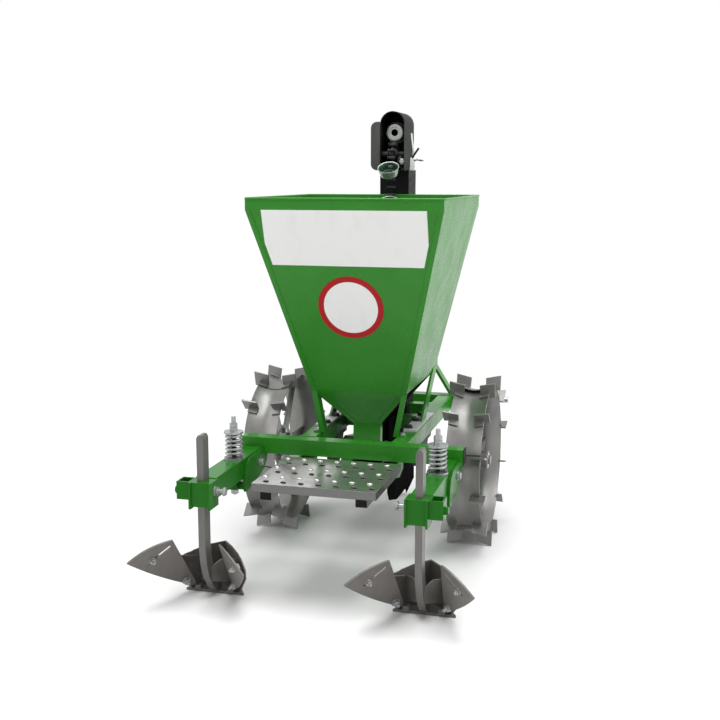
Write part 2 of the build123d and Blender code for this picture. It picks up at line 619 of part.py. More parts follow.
spider = rod_x(-HUB_LENGTH / 2, HUB_LENGTH / 2, 0, 0, HUB_RADIUS) + rod_x(-5, 5, 0, 0, 75)
for index in range(SPOKE_COUNT):
    spoke = block(-SPOKE_THICKNESS / 2, SPOKE_THICKNESS / 2, 20, RIM_RADIUS, -SPOKE_WIDTH / 2, SPOKE_WIDTH / 2)
    spider += Rot(index * 360 / SPOKE_COUNT, 0, 0) * spoke
spider &= rod_x(-HUB_LENGTH, HUB_LENGTH, 0, 0, valley - RIM_SHEET - 0.3)
spider -= rod_x(-HUB_LENGTH, HUB_LENGTH, 0, 0, AXLE_RADIUS + 0.05)
for name, side in SIDES:
    place = Pos(side * WHEEL_OFFSET, AXLE_Y, AXLE_Z)
    nodes["wheel_rim_" + name] = place * rim
    nodes["wheel_spider_" + name] = place * spider

# The outline's middle: wing tips at the rear, hitch plates at the front
wing_reach = WING_SHEET / 2 * abs(normal.Y)
CENTRE_Y = (REAR_END_Y - wing_reach + FRONT_END_Y) / 2

# One file for each piece, with the outline centred over the origin
os.makedirs("parts", exist_ok=True)
for name, shape in nodes.items():
    export_step(Pos(0, -CENTRE_Y, 0) * shape, os.path.join("parts", name + ".step"))
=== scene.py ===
import json
import math

import bmesh
import bpy
from mathutils import Matrix, Vector


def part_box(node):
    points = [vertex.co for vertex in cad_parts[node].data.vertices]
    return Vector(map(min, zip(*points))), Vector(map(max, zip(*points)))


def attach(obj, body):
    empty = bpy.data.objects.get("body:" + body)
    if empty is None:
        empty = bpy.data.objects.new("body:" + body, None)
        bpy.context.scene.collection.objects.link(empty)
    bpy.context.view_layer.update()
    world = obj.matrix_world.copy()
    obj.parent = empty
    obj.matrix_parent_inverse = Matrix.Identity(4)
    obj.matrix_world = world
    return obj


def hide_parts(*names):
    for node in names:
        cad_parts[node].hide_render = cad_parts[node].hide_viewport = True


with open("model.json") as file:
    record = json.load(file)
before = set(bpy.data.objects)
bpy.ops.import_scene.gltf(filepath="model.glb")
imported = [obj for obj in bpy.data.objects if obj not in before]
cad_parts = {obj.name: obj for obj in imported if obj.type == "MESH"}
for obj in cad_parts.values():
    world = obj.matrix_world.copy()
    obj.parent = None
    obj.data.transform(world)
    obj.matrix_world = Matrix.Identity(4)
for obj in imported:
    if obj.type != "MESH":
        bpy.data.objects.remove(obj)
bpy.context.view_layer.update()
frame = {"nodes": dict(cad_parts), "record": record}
scene = bpy.context.scene
scene.view_settings.view_transform = "Standard"

MM = 0.001
SIDES = ((-1, "left"), (1, "right"))

# Camera at the photograph's viewpoint
SHIFT_Y = -0.1932473
camera_data = bpy.data.cameras.new("camera")
camera_data.sensor_width = 36.0
camera_data.lens = 54.865
camera_data.shift_x = 0.01293
camera_data.shift_y = 0.0198
camera = bpy.data.objects.new("camera", camera_data)
camera.location = (0.8806, -3.1869 + SHIFT_Y, 1.205)
camera.rotation_euler = (math.radians(79.74), 0.0, math.radians(15.35))
scene.collection.objects.link(camera)
scene.camera = camera


# Light: a pale room, a soft key from the right, a wide lamp overhead and a fill from the left
def area_light(name, place, target, size, power):
    data = bpy.data.lights.new(name, "AREA")
    data.shape = "DISK"
    data.size = size
    data.energy = power
    lamp = bpy.data.objects.new(name, data)
    lamp.location = place
    lamp.rotation_euler = (Vector(target) - Vector(place)).to_track_quat("-Z", "Y").to_euler()
    scene.collection.objects.link(lamp)


area_light("key", place=(3.4, -0.2, 2.8), target=(0, 0, 0.6), size=3.4, power=75)
area_light("overhead", place=(0.0, -0.3, 4.4), target=(0, 0, 0.4), size=3.6, power=165)
area_light("fill", place=(-3.2, -0.8, 2.2), target=(0, 0, 0.5), size=3.0, power=35)

world = bpy.data.worlds.new("room")
scene.world = world
world.use_nodes = True
tree = world.node_tree
tree.nodes.clear()
soft = tree.nodes.new("ShaderNodeBackground")
soft.inputs["Color"].default_value = (1, 1, 1, 1)
soft.inputs["Strength"].default_value = 0.5
seen = tree.nodes.new("ShaderNodeBackground")
seen.inputs["Color"].default_value = (1, 1, 1, 1)
seen.inputs["Strength"].default_value = 1.0
# Rays from the camera, in reflections and through clear parts meet plain white, the rest a softer light
light_path = tree.nodes.new("ShaderNodeLightPath")
camera_or_glossy = tree.nodes.new("ShaderNodeMath")
camera_or_glossy.operation = "MAXIMUM"
direct = tree.nodes.new("ShaderNodeMath")
direct.operation = "MAXIMUM"
world_mix = tree.nodes.new("ShaderNodeMixShader")
world_output = tree.nodes.new("ShaderNodeOutputWorld")
tree.links.new(light_path.outputs["Is Camera Ray"], camera_or_glossy.inputs[0])
tree.links.new(light_path.outputs["Is Glossy Ray"], camera_or_glossy.inputs[1])
tree.links.new(camera_or_glossy.outputs[0], direct.inputs[0])
tree.links.new(light_path.outputs["Is Transmission Ray"], direct.inputs[1])
tree.links.new(direct.outputs[0], world_mix.inputs[0])
tree.links.new(soft.outputs[0], world_mix.inputs[1])
tree.links.new(seen.outputs[0], world_mix.inputs[2])
tree.links.new(world_mix.outputs[0], world_output.inputs[0])


# Materials
BEVEL_SAMPLES = 4
# Painted shade for the spring rods inside the coils, and how softly it fades
ROD_SHADE = (0.012, 0.012, 0.011)
ROD_SHADE_FADE = 1 * MM


class Nodes:
    # A material's node tree, with short names for what the recipes below need
    def __init__(self, name):
        self.material = bpy.data.materials.new(name)
        self.material.use_nodes = True
        self.tree = self.material.node_tree
        self.shader = self.tree.nodes["Principled BSDF"]
        self.place = self.add("ShaderNodeTexCoord").outputs["Object"]

    def add(self, kind, **values):
        node = self.tree.nodes.new(kind)
        for key, value in values.items():
            setattr(node, key, value)
        return node

    def link(self, source, target):
        self.tree.links.new(source, target)

    def noise(self, scale, detail, stretch=None):
        node = self.add("ShaderNodeTexNoise")
        node.inputs["Scale"].default_value = scale
        node.inputs["Detail"].default_value = detail
        place = self.place
        if stretch:
            mapping = self.add("ShaderNodeMapping")
            mapping.inputs["Scale"].default_value = stretch
            self.link(place, mapping.inputs["Vector"])
            place = mapping.outputs["Vector"]
        self.link(place, node.inputs["Vector"])
        return node.outputs["Fac"]

    def ramp(self, source, span, values):
        # Stretches the span of the source over the values
        node = self.add("ShaderNodeMapRange")
        node.inputs["From Min"].default_value = span[0]
        node.inputs["From Max"].default_value = span[1]
        node.inputs["To Min"].default_value = values[0]
        node.inputs["To Max"].default_value = values[1]
        self.link(source, node.inputs["Value"])
        return node.outputs["Result"]

    def math(self, operation, one, two):
        node = self.add("ShaderNodeMath", operation=operation)
        for socket, value in zip(node.inputs, (one, two)):
            if isinstance(value, (int, float)):
                socket.default_value = value
            else:
                self.link(value, socket)
        return node.outputs[0]

    def mix(self, factor, one, two):
        node = self.add("ShaderNodeMix", data_type="RGBA")
        for key, value in (("Factor", factor), ("A", one), ("B", two)):
            socket = node.inputs[key]
            if isinstance(value, tuple):
                socket.default_value = (*value, 1.0)
            elif isinstance(value, (int, float)):
                socket.default_value = value
            else:
                self.link(value, socket)
        return node.outputs["Result"]

    def edge(self, radius):
        # 1 on sharp edges, 0 on flats
        bevel = self.add("ShaderNodeBevel", samples=BEVEL_SAMPLES)
        bevel.inputs["Radius"].default_value = radius
        geometry = self.add("ShaderNodeNewGeometry")
        dot = self.add("ShaderNodeVectorMath", operation="DOT_PRODUCT")
        self.link(bevel.outputs["Normal"], dot.inputs[0])
        self.link(geometry.outputs["Normal"], dot.inputs[1])
        return self.ramp(dot.outputs["Value"], (0.98, 0.80), (0.0, 1.0))

    def bump(self, height, strength, distance, radius=0.0012):
        # Fine relief over edges rounded by the radius
        node = self.add("ShaderNodeBump")
        node.inputs["Strength"].default_value = strength
        node.inputs["Distance"].default_value = distance
        self.link(height, node.inputs["Height"])
        bevel = self.add("ShaderNodeBevel", samples=BEVEL_SAMPLES)
        bevel.inputs["Radius"].default_value = radius
        self.link(bevel.outputs["Normal"], node.inputs["Normal"])
        self.link(node.outputs["Normal"], self.shader.inputs["Normal"])

    def colour(self, source):
        self.link(source, self.shader.inputs["Base Color"])

    def rough(self, source):
        self.link(source, self.shader.inputs["Roughness"])

    def finish(self, metal, shine):
        self.shader.inputs["Metallic"].default_value = metal
        self.shader.inputs["Specular IOR Level"].default_value = shine
        return self.material


def paint(name, base, dark, worn, rough, wear, shine):
    # Powder coat: faint orange peel, dust in the broad noise, rubbed edges
    n = Nodes(name)
    cloud = n.ramp(n.noise(5.0, 5.0), (0.35, 0.7), (0.0, 1.0))
    coat = n.mix(cloud, base, dark)
    chips = n.ramp(n.noise(60.0, 6.0), (0.45, 0.62), (0.0, wear))
    rubbed = n.math("MULTIPLY", n.edge(0.002), chips)
    n.colour(n.mix(rubbed, coat, worn))
    n.rough(n.ramp(n.noise(12.0, 2.0), (0.3, 0.7), (rough - 0.04, rough + 0.06)))
    n.bump(n.noise(24.0, 1.0), 0.03, 0.0006)
    return n.finish(0.0, shine)


def steel(name, base, dark, rough, metal, grain, wear, relief=0.1, side_shade=1.0):
    # Painted or rolled steel: faint streaks along the sheet, a little soil, rubbed edges, and painted shade
    # on the sides if asked
    n = Nodes(name)
    patches = n.ramp(n.noise(7.0, 4.0), (0.42, 0.72), (0.0, 0.55))
    streaks = n.ramp(n.noise(40.0, 2.5, grain), (0.35, 0.7), (0.0, 0.35))
    body = n.mix(patches, base, dark)
    light = tuple(min(1.0, c * 1.25 + 0.01) for c in base)
    body = n.mix(streaks, body, light)
    bright = tuple(min(1.0, c * 1.5 + 0.04) for c in base)
    body = n.mix(n.math("MULTIPLY", n.edge(0.0016), wear), body, bright)
    if side_shade < 1.0:
        # Painted shade: sides and undersides darker by this factor, the top left as it is
        split = n.add("ShaderNodeSeparateXYZ")
        n.link(n.add("ShaderNodeNewGeometry").outputs["Normal"], split.inputs[0])
        shaded_sides = tuple(c * side_shade for c in base)
        body = n.mix(n.ramp(split.outputs["Z"], (0.3, 0.9), (1.0, 0.0)), body, shaded_sides)
    n.colour(body)
    n.rough(n.ramp(n.noise(30.0, 2.0), (0.3, 0.7), (rough - 0.05, rough + 0.06)))
    n.bump(n.noise(55.0, 3.0), relief, 0.0006)
    return n.finish(metal, 0.4)


def zinc(name, base, dark, rough, metal, shade_span=None):
    # Zinc plate: small crystal spangle, and painted shade between two heights if asked
    n = Nodes(name)
    cells = n.add("ShaderNodeTexVoronoi")
    cells.inputs["Scale"].default_value = 140.0
    n.link(n.place, cells.inputs["Vector"])
    spangle = n.ramp(cells.outputs["Distance"], (0.0, 0.8), (0.0, 0.5))
    cloud = n.ramp(n.noise(22.0, 5.0), (0.4, 0.7), (0.0, 0.7))
    body = n.mix(cloud, n.mix(spangle, base, tuple(c * 0.82 for c in base)), dark)
    # Painted shade: the band between the two heights takes the dark shade colour
    if shade_span:
        split = n.add("ShaderNodeSeparateXYZ")
        n.link(n.place, split.inputs[0])
        low, high = shade_span
        above = n.ramp(split.outputs["Z"], (low - ROD_SHADE_FADE, low + ROD_SHADE_FADE), (0.0, 1.0))
        below = n.ramp(split.outputs["Z"], (high - ROD_SHADE_FADE, high + ROD_SHADE_FADE), (1.0, 0.0))
        body = n.mix(n.math("MULTIPLY", above, below), body, ROD_SHADE)
    n.colour(body)
    n.rough(n.ramp(n.noise(90.0, 4.0), (0.3, 0.7), (rough - 0.05, rough + 0.1)))
    n.bump(n.noise(300.0, 3.0), 0.1, 0.0003, 0.0008)
    return n.finish(metal, 0.5)


def plastic(name, base, pale, rough, shine):
    # Moulded plastic or film: fine grain, scuffs that change its tone, dusty edges
    n = Nodes(name)
    scuff = n.ramp(n.noise(24.0, 7.0, (1, 1, 0.25)), (0.52, 0.72), (0.0, 0.5))
    edge = n.math("MULTIPLY", n.edge(0.0015), 0.35)
    n.colour(n.mix(n.math("MAXIMUM", scuff, edge), base, pale))
    n.rough(n.ramp(n.noise(60.0, 4.0), (0.3, 0.7), (rough - 0.08, rough + 0.1)))
    n.bump(n.noise(700.0, 2.0), 0.15, 0.0003)
    return n.finish(0.0, shine)


GREEN = paint(
    "green_paint",
    base=(0.029, 0.232, 0.017),
    dark=(0.024, 0.195, 0.014),
    worn=(0.09, 0.20, 0.07),
    rough=0.26,
    wear=0.35,
    shine=0.25,
)
# Shaded copy of the green paint: its darker base on the arms, brackets, clamps and knobs is painted shade
ARM_GREEN_SHADED = paint(
    "arm_green_painted_shade",
    base=(0.012, 0.150, 0.006),
    dark=(0.010, 0.125, 0.005),
    worn=(0.06, 0.16, 0.05),
    rough=0.22,
    wear=0.35,
    shine=0.16,
)
BLACK_PAINT = paint(
    "black_paint",
    base=(0.002, 0.002, 0.002),
    dark=(0.004, 0.004, 0.004),
    worn=(0.02, 0.02, 0.02),
    rough=0.85,
    wear=0.4,
    shine=0.01,
)
GREY_STEEL = steel(
    "grey_steel",
    base=(0.215, 0.211, 0.204),
    dark=(0.17, 0.166, 0.16),
    rough=0.34,
    metal=0.65,
    grain=(1, 1, 0.2),
    wear=0.5,
    relief=0.06,
)
STEP_STEEL = steel(
    "step_steel",
    base=(0.56, 0.555, 0.545),
    dark=(0.47, 0.465, 0.455),
    rough=0.20,
    metal=0.9,
    grain=(1, 0.2, 1),
    wear=0.4,
    relief=0.02,
    # Painted shade on the step's sides and lip
    side_shade=0.28,
)
TINE_STEEL = steel(
    "tine_steel",
    base=(0.150, 0.145, 0.138),
    dark=(0.108, 0.104, 0.10),
    rough=0.36,
    metal=0.4,
    grain=(1, 1, 0.05),
    wear=0.6,
)
WING_STEEL = steel(
    "wing_steel",
    base=(0.145, 0.135, 0.125),
    dark=(0.105, 0.098, 0.09),
    rough=0.48,
    metal=0.4,
    grain=(1, 1, 0.2),
    wear=0.7,
)
BRIGHT_STEEL = steel(
    "bright_steel",
    base=(0.48, 0.48, 0.49),
    dark=(0.36, 0.36, 0.37),
    rough=0.3,
    metal=0.9,
    grain=(1, 0.1, 1),
    wear=0.4,
)
CHAIN_STEEL = steel(
    "chain_steel",
    base=(0.020, 0.020, 0.020),
    dark=(0.010, 0.010, 0.010),
    rough=0.5,
    metal=0.3,
    grain=(1, 1, 1),
    wear=0.4,
)
SEAM = steel(
    "weld_seam",
    base=(0.045, 0.042, 0.04),
    dark=(0.03, 0.028, 0.026),
    rough=0.6,
    metal=0.2,
    grain=(1, 1, 1),
    wear=0.2,
)
ZINC_LOOK = {"base": (0.42, 0.43, 0.43), "dark": (0.30, 0.31, 0.31), "rough": 0.28, "metal": 0.75}
ZINC = zinc("zinc_plate", **ZINC_LOOK)
CUP_ZINC = zinc("cup_zinc", base=(0.50, 0.52, 0.50), dark=(0.36, 0.38, 0.36), rough=0.24, metal=0.5)
# Near-white zinc for the bearing plates and the hood lever: the pale base is painted highlight standing in
# for glare
GLARE_ZINC = zinc("plate_zinc_painted_glare", base=(0.76, 0.77, 0.76), dark=(0.64, 0.65, 0.64), rough=0.35, metal=0.2)
# Dark green inside the cups: painted shade and painted reflection of the hood
CUP_SHADE_FILM = plastic(
    "cup_painted_shade",
    base=(0.012, 0.040, 0.024),
    pale=(0.04, 0.09, 0.06),
    rough=0.3,
    shine=0.4,
)
# Painted shade on the rods over the height of the coils around them
COIL_SPAN = [point.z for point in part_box("pressure_springs")]
ROD_ZINC = zinc("rod_zinc", shade_span=COIL_SPAN, **ZINC_LOOK)
BLACK_PLASTIC = plastic(
    "black_plastic",
    base=(0.004, 0.004, 0.0045),
    pale=(0.010, 0.010, 0.011),
    rough=0.55,
    shine=0.15,
)
GREY_PLASTIC = plastic(
    "grey_plastic",
    base=(0.062, 0.062, 0.060),
    pale=(0.095, 0.095, 0.092),
    rough=0.5,
    shine=0.3,
)
WHITE_FILM = plastic("white_film", base=(0.84, 0.84, 0.83), pale=(0.76, 0.76, 0.75), rough=0.4, shine=0.3)
RED_FILM = plastic("red_film", base=(0.40, 0.006, 0.010), pale=(0.35, 0.012, 0.015), rough=0.4, shine=0.2)

SLOT_MATERIAL = {
    "green_paint": GREEN,
    "black_paint": BLACK_PAINT,
    "grey_steel": GREY_STEEL,
    "plain_steel": BRIGHT_STEEL,
    "galvanised_steel": ZINC,
    "black_plastic": BLACK_PLASTIC,
    "grey_plastic": GREY_PLASTIC,
}
OWN_MATERIAL = {
    "tine_left": TINE_STEEL,
    "tine_right": TINE_STEEL,
    "ridger_wings_left": WING_STEEL,
    "ridger_wings_right": WING_STEEL,
    "ridger_body_left": WING_STEEL,
    "ridger_body_right": WING_STEEL,
    "ridger_arm_left": ARM_GREEN_SHADED,
    "ridger_arm_right": ARM_GREEN_SHADED,
    "arm_bracket_left": ARM_GREEN_SHADED,
    "arm_bracket_right": ARM_GREEN_SHADED,
    "tine_clamp_left": ARM_GREEN_SHADED,
    "tine_clamp_right": ARM_GREEN_SHADED,
    "axle_bearing_left": CHAIN_STEEL,
    "axle_bearing_right": CHAIN_STEEL,
    "spring_rods": ROD_ZINC,
    "step_plate": STEP_STEEL,
    "bearing_plates": GLARE_ZINC,
    "top_sprocket": CHAIN_STEEL,
    "lower_sprocket": CHAIN_STEEL,
}
node_slot = {row["node"]: row["material_slot"] for row in frame["record"]["subparts"]}
for node, thing in frame["nodes"].items():
    thing.data.materials.clear()
    thing.data.materials.append(OWN_MATERIAL.get(node, SLOT_MATERIAL[node_slot[node]]))

# Fastener proportions, in thread diameters
HEX_CORNER = 0.98
HEX_CHAMFER = 0.1
HEX_TOP = 0.86
WASHER_BORE = 0.3
WASHER_EDGE = 1.2
WASHER_THICK = 0.18
LOCK_NUT = 0.6
BOLT_HEAD = 0.65
NUT_FLOOR = 0.9
NUT_TOP = 0.95

# Threads, weld beads, round bars and edges
THREAD_PITCH = 1.75 * MM
THREAD_VALLEY = 0.9
WELD_RADIUS = 2.4 * MM
WELD_STEP = 2.5 * MM
WELD_SIDES = 7
WELD_RIPPLE = 0.18
BAR_SIDES = 10
SHARP_ANGLE = math.radians(35)
BEVEL_ANGLE = math.radians(40)


# Mesh helpers
def facing(place, normal):
    # Local Z points along the normal
    aim = Vector(normal).to_track_quat("Z", "Y").to_matrix().to_4x4()
    return Matrix.Translation(place) @ aim


def circle(radius, count):
    angles = [2 * math.pi * i / count for i in range(count)]
    return [(radius * math.cos(angle), radius * math.sin(angle)) for angle in angles]


def rectangle(low_x, high_x, low_y, high_y):
    return [(low_x, low_y), (high_x, low_y), (high_x, high_y), (low_x, high_y)]


def millimetres(points):
    return [(x * MM, y * MM) for x, y in points]


class Shape:
    # Collects solids in one mesh
    def __init__(self):
        self.mesh = bmesh.new()

    def loft(self, rings, closed=False):
        # Skin over rings of points, capped at both ends unless the rings close on themselves
        rows = [[self.mesh.verts.new(point) for point in ring] for ring in rings]
        pairs = list(zip(rows, rows[1:]))
        if closed:
            pairs.append((rows[-1], rows[0]))
        else:
            self.mesh.faces.new(rows[0][::-1])
            self.mesh.faces.new(rows[-1])
        for low, high in pairs:
            for i in range(len(low)):
                j = (i + 1) % len(low)
                self.mesh.faces.new((low[i], low[j], high[j], high[i]))

    def stack(self, place, outline, levels):
        # The outline at each (height, scale) in turn
        self.loft([[place @ Vector((x * scale, y * scale, z)) for x, y in outline] for z, scale in levels])

    def prism(self, place, outline, low, high):
        self.stack(place, outline, ((low, 1.0), (high, 1.0)))

    def lathe(self, place, profile, steps):
        # A closed outline of (radius, height) turned about the place's Z
        rings = []
        for i in range(steps):
            turned = place @ Matrix.Rotation(2 * math.pi * i / steps, 4, "Z")
            rings.append([turned @ Vector((r, 0, z)) for r, z in profile])
        self.loft(rings, closed=True)

    def tube(self, points, radius, sides, closed=False, ripple=0.0):
        # Round section along a path, rippled like a weld bead if asked
        rings = []
        count = len(points)
        for i, point in enumerate(points):
            ahead = points[(i + 1) % count] if closed or i + 1 < count else point
            behind = points[i - 1] if closed or i else point
            along = (Vector(ahead) - Vector(behind)).normalized()
            across = along.orthogonal() if abs(along.z) > 0.9 else along.cross(Vector((0, 0, 1)))
            across.normalize()
            lift = across.cross(along)
            size = radius * (1 + ripple * (i % 2))
            ring = [Vector(point) + across * x * size + lift * y * size for x, y in circle(1.0, sides)]
            rings.append(ring)
        self.loft(rings, closed=closed)

    def weld(self, start, end):
        # A short bead between two points
        start = Vector(start)
        end = Vector(end)
        count = max(4, int((end - start).length / WELD_STEP))
        points = [start.lerp(end, i / count) for i in range(count + 1)]
        self.tube(points, WELD_RADIUS, WELD_SIDES, ripple=WELD_RIPPLE)

    def hexagon(self, place, size, low, high):
        # A nut or bolt head with its corners turned off; size is the thread's diameter
        levels = ((low, 1.0), (high - HEX_CHAMFER * size, 1.0), (high, HEX_TOP))
        self.stack(place, circle(HEX_CORNER * size, 6), levels)

    def washer(self, place, size, low, high):
        self.lathe(place, rectangle(WASHER_BORE * size, WASHER_EDGE * size, low, high), steps=20)

    def bolt(self, place, size, reach=0.0):
        # Washer and hexagon head; with a reach, a lock nut and bare shank first
        rest = WASHER_THICK * size
        self.washer(place, size, 0.0, rest)
        if reach:
            self.hexagon(place, size, rest, rest + LOCK_NUT * size)
            self.prism(place, circle(size / 2, 14), 0.0, reach)
            rest = reach
        self.hexagon(place, size, rest, rest + BOLT_HEAD * size)

    def nut(self, place, size, spare):
        # Washer, nut and the end of the thread
        self.washer(place, size, 0.0, WASHER_THICK * size)
        self.hexagon(place, size, WASHER_THICK * size, NUT_TOP * size)
        self.thread(place, size / 2, NUT_FLOOR * size, NUT_TOP * size + spare)

    def thread(self, place, radius, low, high):
        # Ridges stacked at the pitch
        turns = max(2, int((high - low) / THREAD_PITCH))
        levels = []
        for i in range(turns + 1):
            z = low + (high - low) * i / turns
            levels.append((z, THREAD_VALLEY))
            if i < turns:
                levels.append((z + (high - low) * 0.5 / turns, 1.0))
        self.stack(place, circle(radius, 12), levels)

    def done(self, name, material, body="chassis", bevel=0.0):
        # Makes the piece, sets it on its body and gives it its material
        bmesh.ops.recalc_face_normals(self.mesh, faces=self.mesh.faces)
        data = bpy.data.meshes.new(name)
        self.mesh.to_mesh(data)
        self.mesh.free()
        for polygon in data.polygons:
            polygon.use_smooth = True
        data.set_sharp_from_angle(angle=SHARP_ANGLE)
        data.materials.append(material)
        piece = bpy.data.objects.new(name, data)
        scene.collection.objects.link(piece)
        if bevel:
            edges = piece.modifiers.new("edges", "BEVEL")
            edges.width = bevel
            edges.segments = 2
            edges.limit_method = "ANGLE"
            edges.angle_limit = BEVEL_ANGLE
        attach(piece, body)
        return piece


# Hopper: places on the leaning rear wall and the funnel under it
wall_low, wall_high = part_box("hopper_rear_panel")
funnel_low, funnel_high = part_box("funnel_rear_panel")
spout_low, spout_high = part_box("hopper_spout")
rim_low, rim_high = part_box("hopper_rim")
wall_top = Vector((0, wall_low.y, wall_high.z))
wall_foot = Vector((0, funnel_low.y, funnel_high.z))
funnel_foot = Vector((0, spout_low.y, funnel_low.z))


def sheet_frame(top, foot):
    # X across, Y up the sheet, Z out of it
    across = Vector((1, 0, 0))
    up = (top - foot).normalized()
    return Matrix.Translation(top) @ Matrix((across, up, across.cross(up))).transposed().to_4x4()


wall = sheet_frame(wall_top, wall_foot)
funnel = sheet_frame(wall_foot, funnel_foot)
wall_length = (wall_top - wall_foot).length
funnel_length = (wall_foot - funnel_foot).length

# Blank white panel and blank round sign with a red ring
PANEL_HALF = 252 * MM
PANEL_WAIST = 105 * MM
PANEL_LOW = 176 * MM
PANEL_LOW_HALF = 235 * MM
SIGN_DROP = 312 * MM
SIGN_RADIUS = 103 * MM
SIGN_INNER = 85 * MM
SIGN_LAP = 1 * MM
SIGN_STEPS = 72
FILM = 0.9 * MM
panel = Shape()
half_panel = [(PANEL_HALF, 0), (PANEL_HALF, -PANEL_WAIST), (PANEL_LOW_HALF, -PANEL_LOW)]
panel.prism(wall, half_panel + [(-x, y) for x, y in half_panel[::-1]], -FILM, FILM)
panel.done("white_panel", WHITE_FILM, bevel=0.4 * MM)
sign_place = wall @ Matrix.Translation((0, -SIGN_DROP, 0))
disc = Shape()
disc.prism(sign_place, circle(SIGN_INNER + SIGN_LAP, SIGN_STEPS), -FILM, 0.8 * FILM)
disc.done("sign_white", WHITE_FILM, bevel=0.3 * MM)
sign_ring = Shape()
sign_ring.lathe(sign_place, rectangle(SIGN_INNER, SIGN_RADIUS, -FILM, FILM), SIGN_STEPS)
sign_ring.done("sign_ring", RED_FILM, bevel=0.3 * MM)

# Folded flanges along the edges of the rear wall and funnel, and the bead on the mouth
FLANGE = 16 * MM
FOLD = 1.8 * MM


def edge_strip(shape, place, start, end):
    # A flat strip inside the sheet's edge from start to end
    edge = Vector((end[0] - start[0], end[1] - start[1]))
    inward = Vector((edge.y, -edge.x)).normalized() * FLANGE
    if inward.x * start[0] > 0:
        inward = -inward
    outline = [start, end, (end[0] + inward.x, end[1] + inward.y), (start[0] + inward.x, start[1] + inward.y)]
    shape.prism(place, outline, -FOLD, FOLD)


flanges = Shape()
for side in (-1, 1):
    edge_strip(flanges, wall, (side * wall_high.x, 0), (side * funnel_high.x, -wall_length))
    edge_strip(flanges, funnel, (side * funnel_high.x, 0), (side * spout_high.x, -funnel_length))
flanges.done("hopper_flanges", GREEN, bevel=0.8 * MM)
BEAD = 3.6 * MM
BEAD_BEND = 8 * MM
BEND_STEPS = 4
bead = Shape()
bead_z = rim_high.z - BEAD / 2
bead_path = []
for x, y, start in (
    (rim_high.x, rim_high.y, 0),
    (rim_low.x, rim_high.y, 90),
    (rim_low.x, rim_low.y, 180),
    (rim_high.x, rim_low.y, 270),
):
    centre_x = x - math.copysign(BEAD_BEND, x)
    centre_y = y - BEAD_BEND if y == rim_high.y else y + BEAD_BEND
    for step in range(BEND_STEPS + 1):
        angle = math.radians(start + 90 / BEND_STEPS * step)
        corner_x = centre_x + BEAD_BEND * math.cos(angle)
        corner_y = centre_y + BEAD_BEND * math.sin(angle)
        bead_path.append((corner_x, corner_y, bead_z))
bead.tube(bead_path, BEAD, BAR_SIDES, closed=True)
bead.done("hopper_bead", GREEN)

# Step: staggered pressed half-moons, with a black slit in each open side as painted shade
step_low, step_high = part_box("step_plate")
STEP_ROWS = 6
STEP_COLUMNS = 7
STEP_STAGGER = (0.66, 0.28)
MOON_RADIUS = 9 * MM
MOON_HEIGHT = 5 * MM
MOON_SINK = 0.4 * MM
MOON_LEVELS = 4
MOON_ARC = 10
MOON_TOP = 84
SLIT_DEPTH = 3.2 * MM
SLIT_LAP = 0.3 * MM
SLIT_HALF = 0.5 * MM
SLIT_NARROW = 0.8 * MOON_RADIUS
SLIT_WIDE = 0.95 * MOON_RADIUS
moons = Shape()
moon_shadows = Shape()
pitch_x = (step_high.x - step_low.x) / STEP_COLUMNS
pitch_y = (step_high.y - step_low.y) / STEP_ROWS
moon_angles = [math.pi * k / MOON_ARC for k in range(MOON_ARC + 1)]
slit = [(-SLIT_NARROW, -SLIT_DEPTH), (SLIT_NARROW, -SLIT_DEPTH)]
slit += [(SLIT_WIDE, SLIT_LAP), (-SLIT_WIDE, SLIT_LAP)]
for row in range(STEP_ROWS):
    for column in range(STEP_COLUMNS):
        x = step_low.x + (column + STEP_STAGGER[row % 2]) * pitch_x
        y = step_low.y + (row + 0.5) * pitch_y
        place = Matrix.Translation((x, y, step_high.z)) @ Matrix.Rotation(math.pi * (row % 2), 4, "Z")
        rings = []
        for level in range(MOON_LEVELS + 1):
            lift = math.radians(MOON_TOP * level / MOON_LEVELS)
            reach = MOON_RADIUS * math.cos(lift)
            z = MOON_HEIGHT * math.sin(lift) - MOON_SINK
            rings.append([place @ Vector((reach * math.cos(a), reach * math.sin(a), z)) for a in moon_angles])
        moons.loft(rings)
        # Black slit under the open side stands for the shade in the opening: painted shade
        moon_shadows.prism(place, slit, -SLIT_HALF, SLIT_HALF)
moons.done("step_half_moons", STEP_STEEL)
moon_shadows.done("step_slit_shade", BLACK_PAINT)

# Plugs in the ends of the step's tubes and of both toolbars, as (height, scale) levels
tubes_low, tubes_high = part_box("step_tubes")
TUBE_WIDTH = 33 * MM
TUBE_PLUG = ((-12 * MM, 0.78), (0.0, 0.80), (0.1 * MM, 0.98), (2.5 * MM, 0.98), (4 * MM, 0.80))
TOOLBAR_PLUG = ((-10 * MM, 0.80), (0.0, 0.80), (0.1 * MM, 0.97), (1.5 * MM, 0.97), (2.5 * MM, 0.86))
plugs = Shape()
half_width = TUBE_WIDTH / 2
half_height = (tubes_high.z - tubes_low.z) / 2
tube_end = rectangle(-half_width, half_width, -half_height, half_height)
for side in (-1, 1):
    middle = (side * (tubes_high.x - half_width), tubes_low.y, (tubes_low.z + tubes_high.z) / 2)
    plugs.stack(facing(middle, (0, -1, 0)), tube_end, TUBE_PLUG)
for toolbar in ("rear_toolbar", "front_toolbar"):
    low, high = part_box(toolbar)
    half = (high.z - low.z) / 2
    for side in (-1, 1):
        place = facing((side * high.x, (low.y + high.y) / 2, (low.z + high.z) / 2), (side, 0, 0))
        plugs.stack(place, rectangle(-half, half, -half, half), TOOLBAR_PLUG)
plugs.done("tube_plugs", BLACK_PLASTIC, bevel=0.8 * MM)

